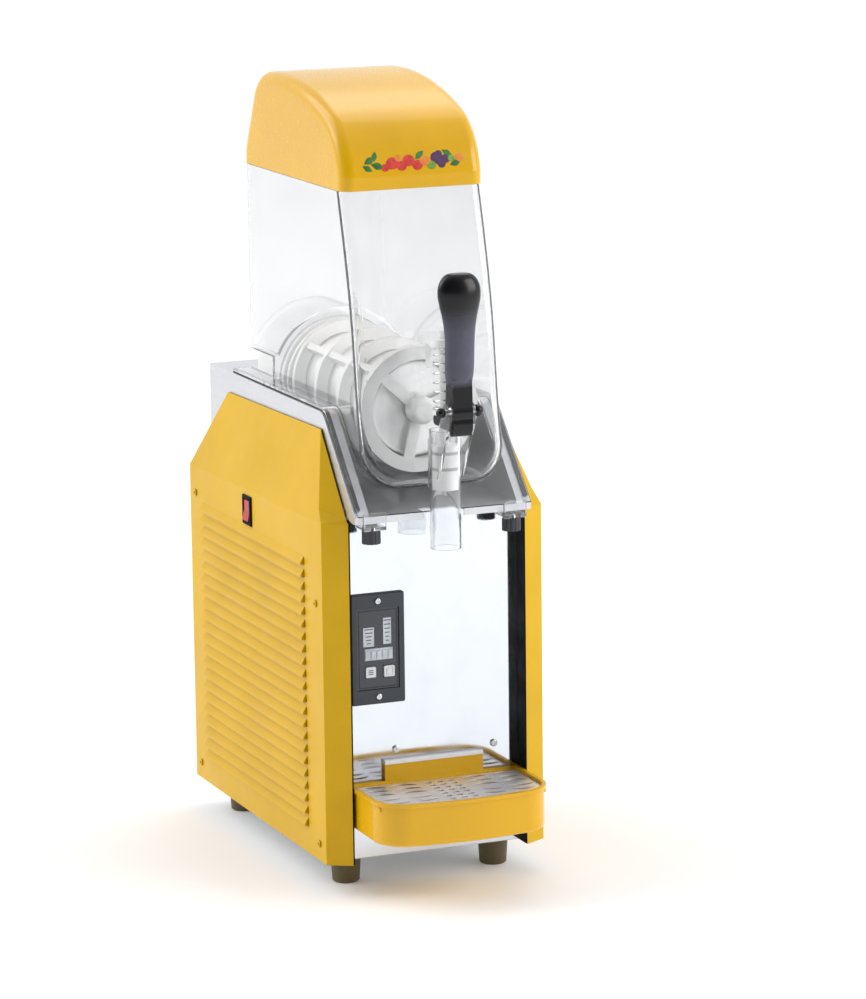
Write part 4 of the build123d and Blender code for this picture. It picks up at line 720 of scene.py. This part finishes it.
class SLUSH_OT_bowl(bpy.types.Operator):
    """Clear bowl, freezing cylinder, auger and seals"""
    bl_idname = "slush.bowl"
    bl_label = "Bowl"

    def execute(self, context):
        give("bowl", clear_finish())
        white = tuple(context.scene.slush_bowl.auger)
        # tray_edging takes this white too: a strip along the top of the tray's back wall, partly a real
        # edging and partly a painted highlight along that edge
        give_all(("auger", "auger_nose", "motor_cover", "drum_flange", "spring_stop", "tap_piston",
                  "tray_edging"), moulded("white_moulding", white, 0.32, 0.0016, 0.00003, 0.2, 0.02))
        give("evaporator_drum", steel_finish("cylinder_stainless", (0.93, 0.93, 0.92), 0.42, (1, 1, 0.04)))
        give_all(("bowl_seal", "shaft_seal", "piston_rings"),
                 moulded("silicone_seal", (0.42, 0.42, 0.41), 0.5))
        give("drive_shaft", steel_finish("ground_shaft", (0.72, 0.72, 0.73), 0.2, (1, 0.05, 1)))
        return {"FINISHED"}


class SLUSH_OT_tap(bpy.types.Operator):
    """Lever, pin knobs, spring and locking knobs"""
    bl_idname = "slush.tap"
    bl_label = "Tap"

    def execute(self, context):
        give_all(("tap_handle", "pin_knobs"), grip_finish())
        give_all(("left_lock_knob", "right_lock_knob"), moulded("knob_plastic", (0.03, 0.032, 0.037), 0.38))
        self.spring(steel_finish("spring_wire", (0.74, 0.74, 0.75), 0.22, (1, 1, 1)))
        return {"FINISHED"}

    def spring(self, material):
        """Return spring of the tap, built at the height of the spring part; on the real tap it shortens as
        the piston lifts.

        A round wire on a helix: the height climbs evenly from end to end, but the
        first and the last part of a turn lie flat against their seats.
        """
        low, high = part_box("tap_spring")
        middle, tall = (low + high) / 2, high.z - low.z
        radius = (high.x - low.x) / 2 - SPRING_WIRE
        turn = np.linspace(0.0, SPRING_TURNS, SPRING_TURNS * 40 + 1)
        radial = np.stack([np.cos(2 * np.pi * turn), np.sin(2 * np.pi * turn), 0 * turn], axis=-1)
        climb = np.clip((turn - SPRING_FLAT_TURNS) / (SPRING_TURNS - 2 * SPRING_FLAT_TURNS), 0.0, 1.0)
        path = radial * radius + np.array([middle.x, middle.y, low.z + SPRING_WIRE])
        path[:, 2] += climb * (tall - 2 * SPRING_WIRE)
        coil = tube("return_spring", path, radial, SPRING_WIRE, material)
        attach(coil, "bowl")
        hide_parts("tap_spring")
        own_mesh(coil)


class SLUSH_OT_lid(bpy.types.Operator):
    """Yellow lid with its printed band of fruit"""
    bl_idname = "slush.lid"
    bl_label = "Lid"

    def execute(self, context):
        give("lid", gloss_yellow())
        settings = context.scene.slush_lid
        size, base = settings.print_size, settings.band_low
        inks = {
            "leaf_print": ((0.010, 0.10, 0.012), (0.05, 0.24, 0.03)),
            "red_fruit_print": ((0.50, 0.012, 0.010), (0.80, 0.06, 0.03)),
            "orange_fruit_print": ((0.72, 0.16, 0.01), (0.90, 0.33, 0.03)),
            "dark_fruit_print": ((0.035, 0.012, 0.045), (0.12, 0.03, 0.13)),
            "lime_fruit_print": ((0.10, 0.26, 0.02), (0.30, 0.45, 0.05)),
        }
        shapes = {"leaf_print": [blob(x * MM, base + h * MM, w * MM, 0.5 * w * MM, turn, 0.75)
                                 for x, h, w, turn in LEAVES]}
        for name, fruit, flat, turn, lift in (
                ("red_fruit_print", RED_FRUIT, 0.9, 0.2, 0.12 * MM),
                ("orange_fruit_print", ORANGE_FRUIT, 0.92, 0.0, 0.16 * MM),
                ("dark_fruit_print", DARK_FRUIT, 1.0, 0.0, 0.12 * MM),
                ("lime_fruit_print", LIME_FRUIT, 0.85, 0.0, 0.15 * MM)):
            shapes[name] = [blob(x * MM, base + h * MM, size * w, size * w * flat, turn, lift=lift)
                            for x, h, w in fruit]
        for name, (dark, light) in inks.items():
            piece = join_grids(name, shapes[name], print_finish(name, dark, light))
            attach(piece, "lid")
        return {"FINISHED"}


class SLUSH_OT_tray(bpy.types.Operator):
    """Drip tray and its polished grille"""
    bl_idname = "slush.tray"
    bl_label = "Drip tray"

    def execute(self, context):
        give("drip_tray", bpy.data.materials["yellow_gloss_plastic"])
        give("drip_grille", steel_finish("grille_stainless", (0.98, 0.96, 0.97), 0.5, (0.05, 1, 1), 0.2))
        return {"FINISHED"}


class SLUSH_OT_inside(bpy.types.Operator):
    """Motor, compressor, condenser, fan and pipes behind the panels"""
    bl_idname = "slush.inside"
    bl_label = "Cooling unit"

    def execute(self, context):
        give_all(("gear_motor", "compressor", "fan_motor"),
                 moulded("black_enamel", (0.012, 0.012, 0.013), 0.3, 0.003, 0.00006, 0.4))
        give_all(("gearbox", "condenser"), cast_finish("cast_aluminium", (0.66, 0.67, 0.68), 0.4))
        give_all(("motor_bracket", "fan_shroud"), bpy.data.materials["galvanised_sheet"])
        give_all(("suction_line", "discharge_line", "liquid_line", "filter_dryer"),
                 steel_finish("drawn_copper", (0.72, 0.36, 0.20), 0.26, (1, 1, 1)))
        return {"FINISHED"}


class SLUSH_PT_panel(bpy.types.Panel):
    """Sidebar list of the steps and their settings"""
    bl_label = "Slush Machine"
    bl_idname = "SLUSH_PT_panel"
    bl_space_type = "VIEW_3D"
    bl_region_type = "UI"
    bl_category = "Slush Machine"

    def draw(self, context):
        """One button for each step, then the settings."""
        for operator in OPERATORS:
            self.layout.operator(operator.bl_idname)
        for name in SETTINGS:
            group = getattr(context.scene, name)
            for prop in group.bl_rna.properties:
                if prop.identifier not in {"rna_type", "name"}:
                    self.layout.prop(group, prop.identifier)


OPERATORS = (SLUSH_OT_stage, SLUSH_OT_cabinet, SLUSH_OT_deck, SLUSH_OT_controls, SLUSH_OT_bowl,
             SLUSH_OT_tap, SLUSH_OT_lid, SLUSH_OT_tray, SLUSH_OT_inside)
SETTINGS = {
    "slush_cabinet": CabinetSettings,
    "slush_bowl": BowlSettings,
    "slush_lid": LidSettings,
    "slush_stage": StageSettings,
}


def register():
    """Adds the settings, operators and panel to Blender."""
    for group in SETTINGS.values():
        bpy.utils.register_class(group)
    for name, group in SETTINGS.items():
        setattr(bpy.types.Scene, name, PointerProperty(type=group))
    for cls in (*OPERATORS, SLUSH_PT_panel):
        bpy.utils.register_class(cls)


def unregister():
    """Takes the panel, operators and settings out again."""
    for cls in reversed((*OPERATORS, SLUSH_PT_panel)):
        bpy.utils.unregister_class(cls)
    for name, group in SETTINGS.items():
        delattr(bpy.types.Scene, name)
        bpy.utils.unregister_class(group)


def main():
    """Runs every step."""
    register()
    for operator in OPERATORS:
        module, name = operator.bl_idname.split(".")
        getattr(getattr(bpy.ops, module), name)()


if __name__ == "__main__":
    main()
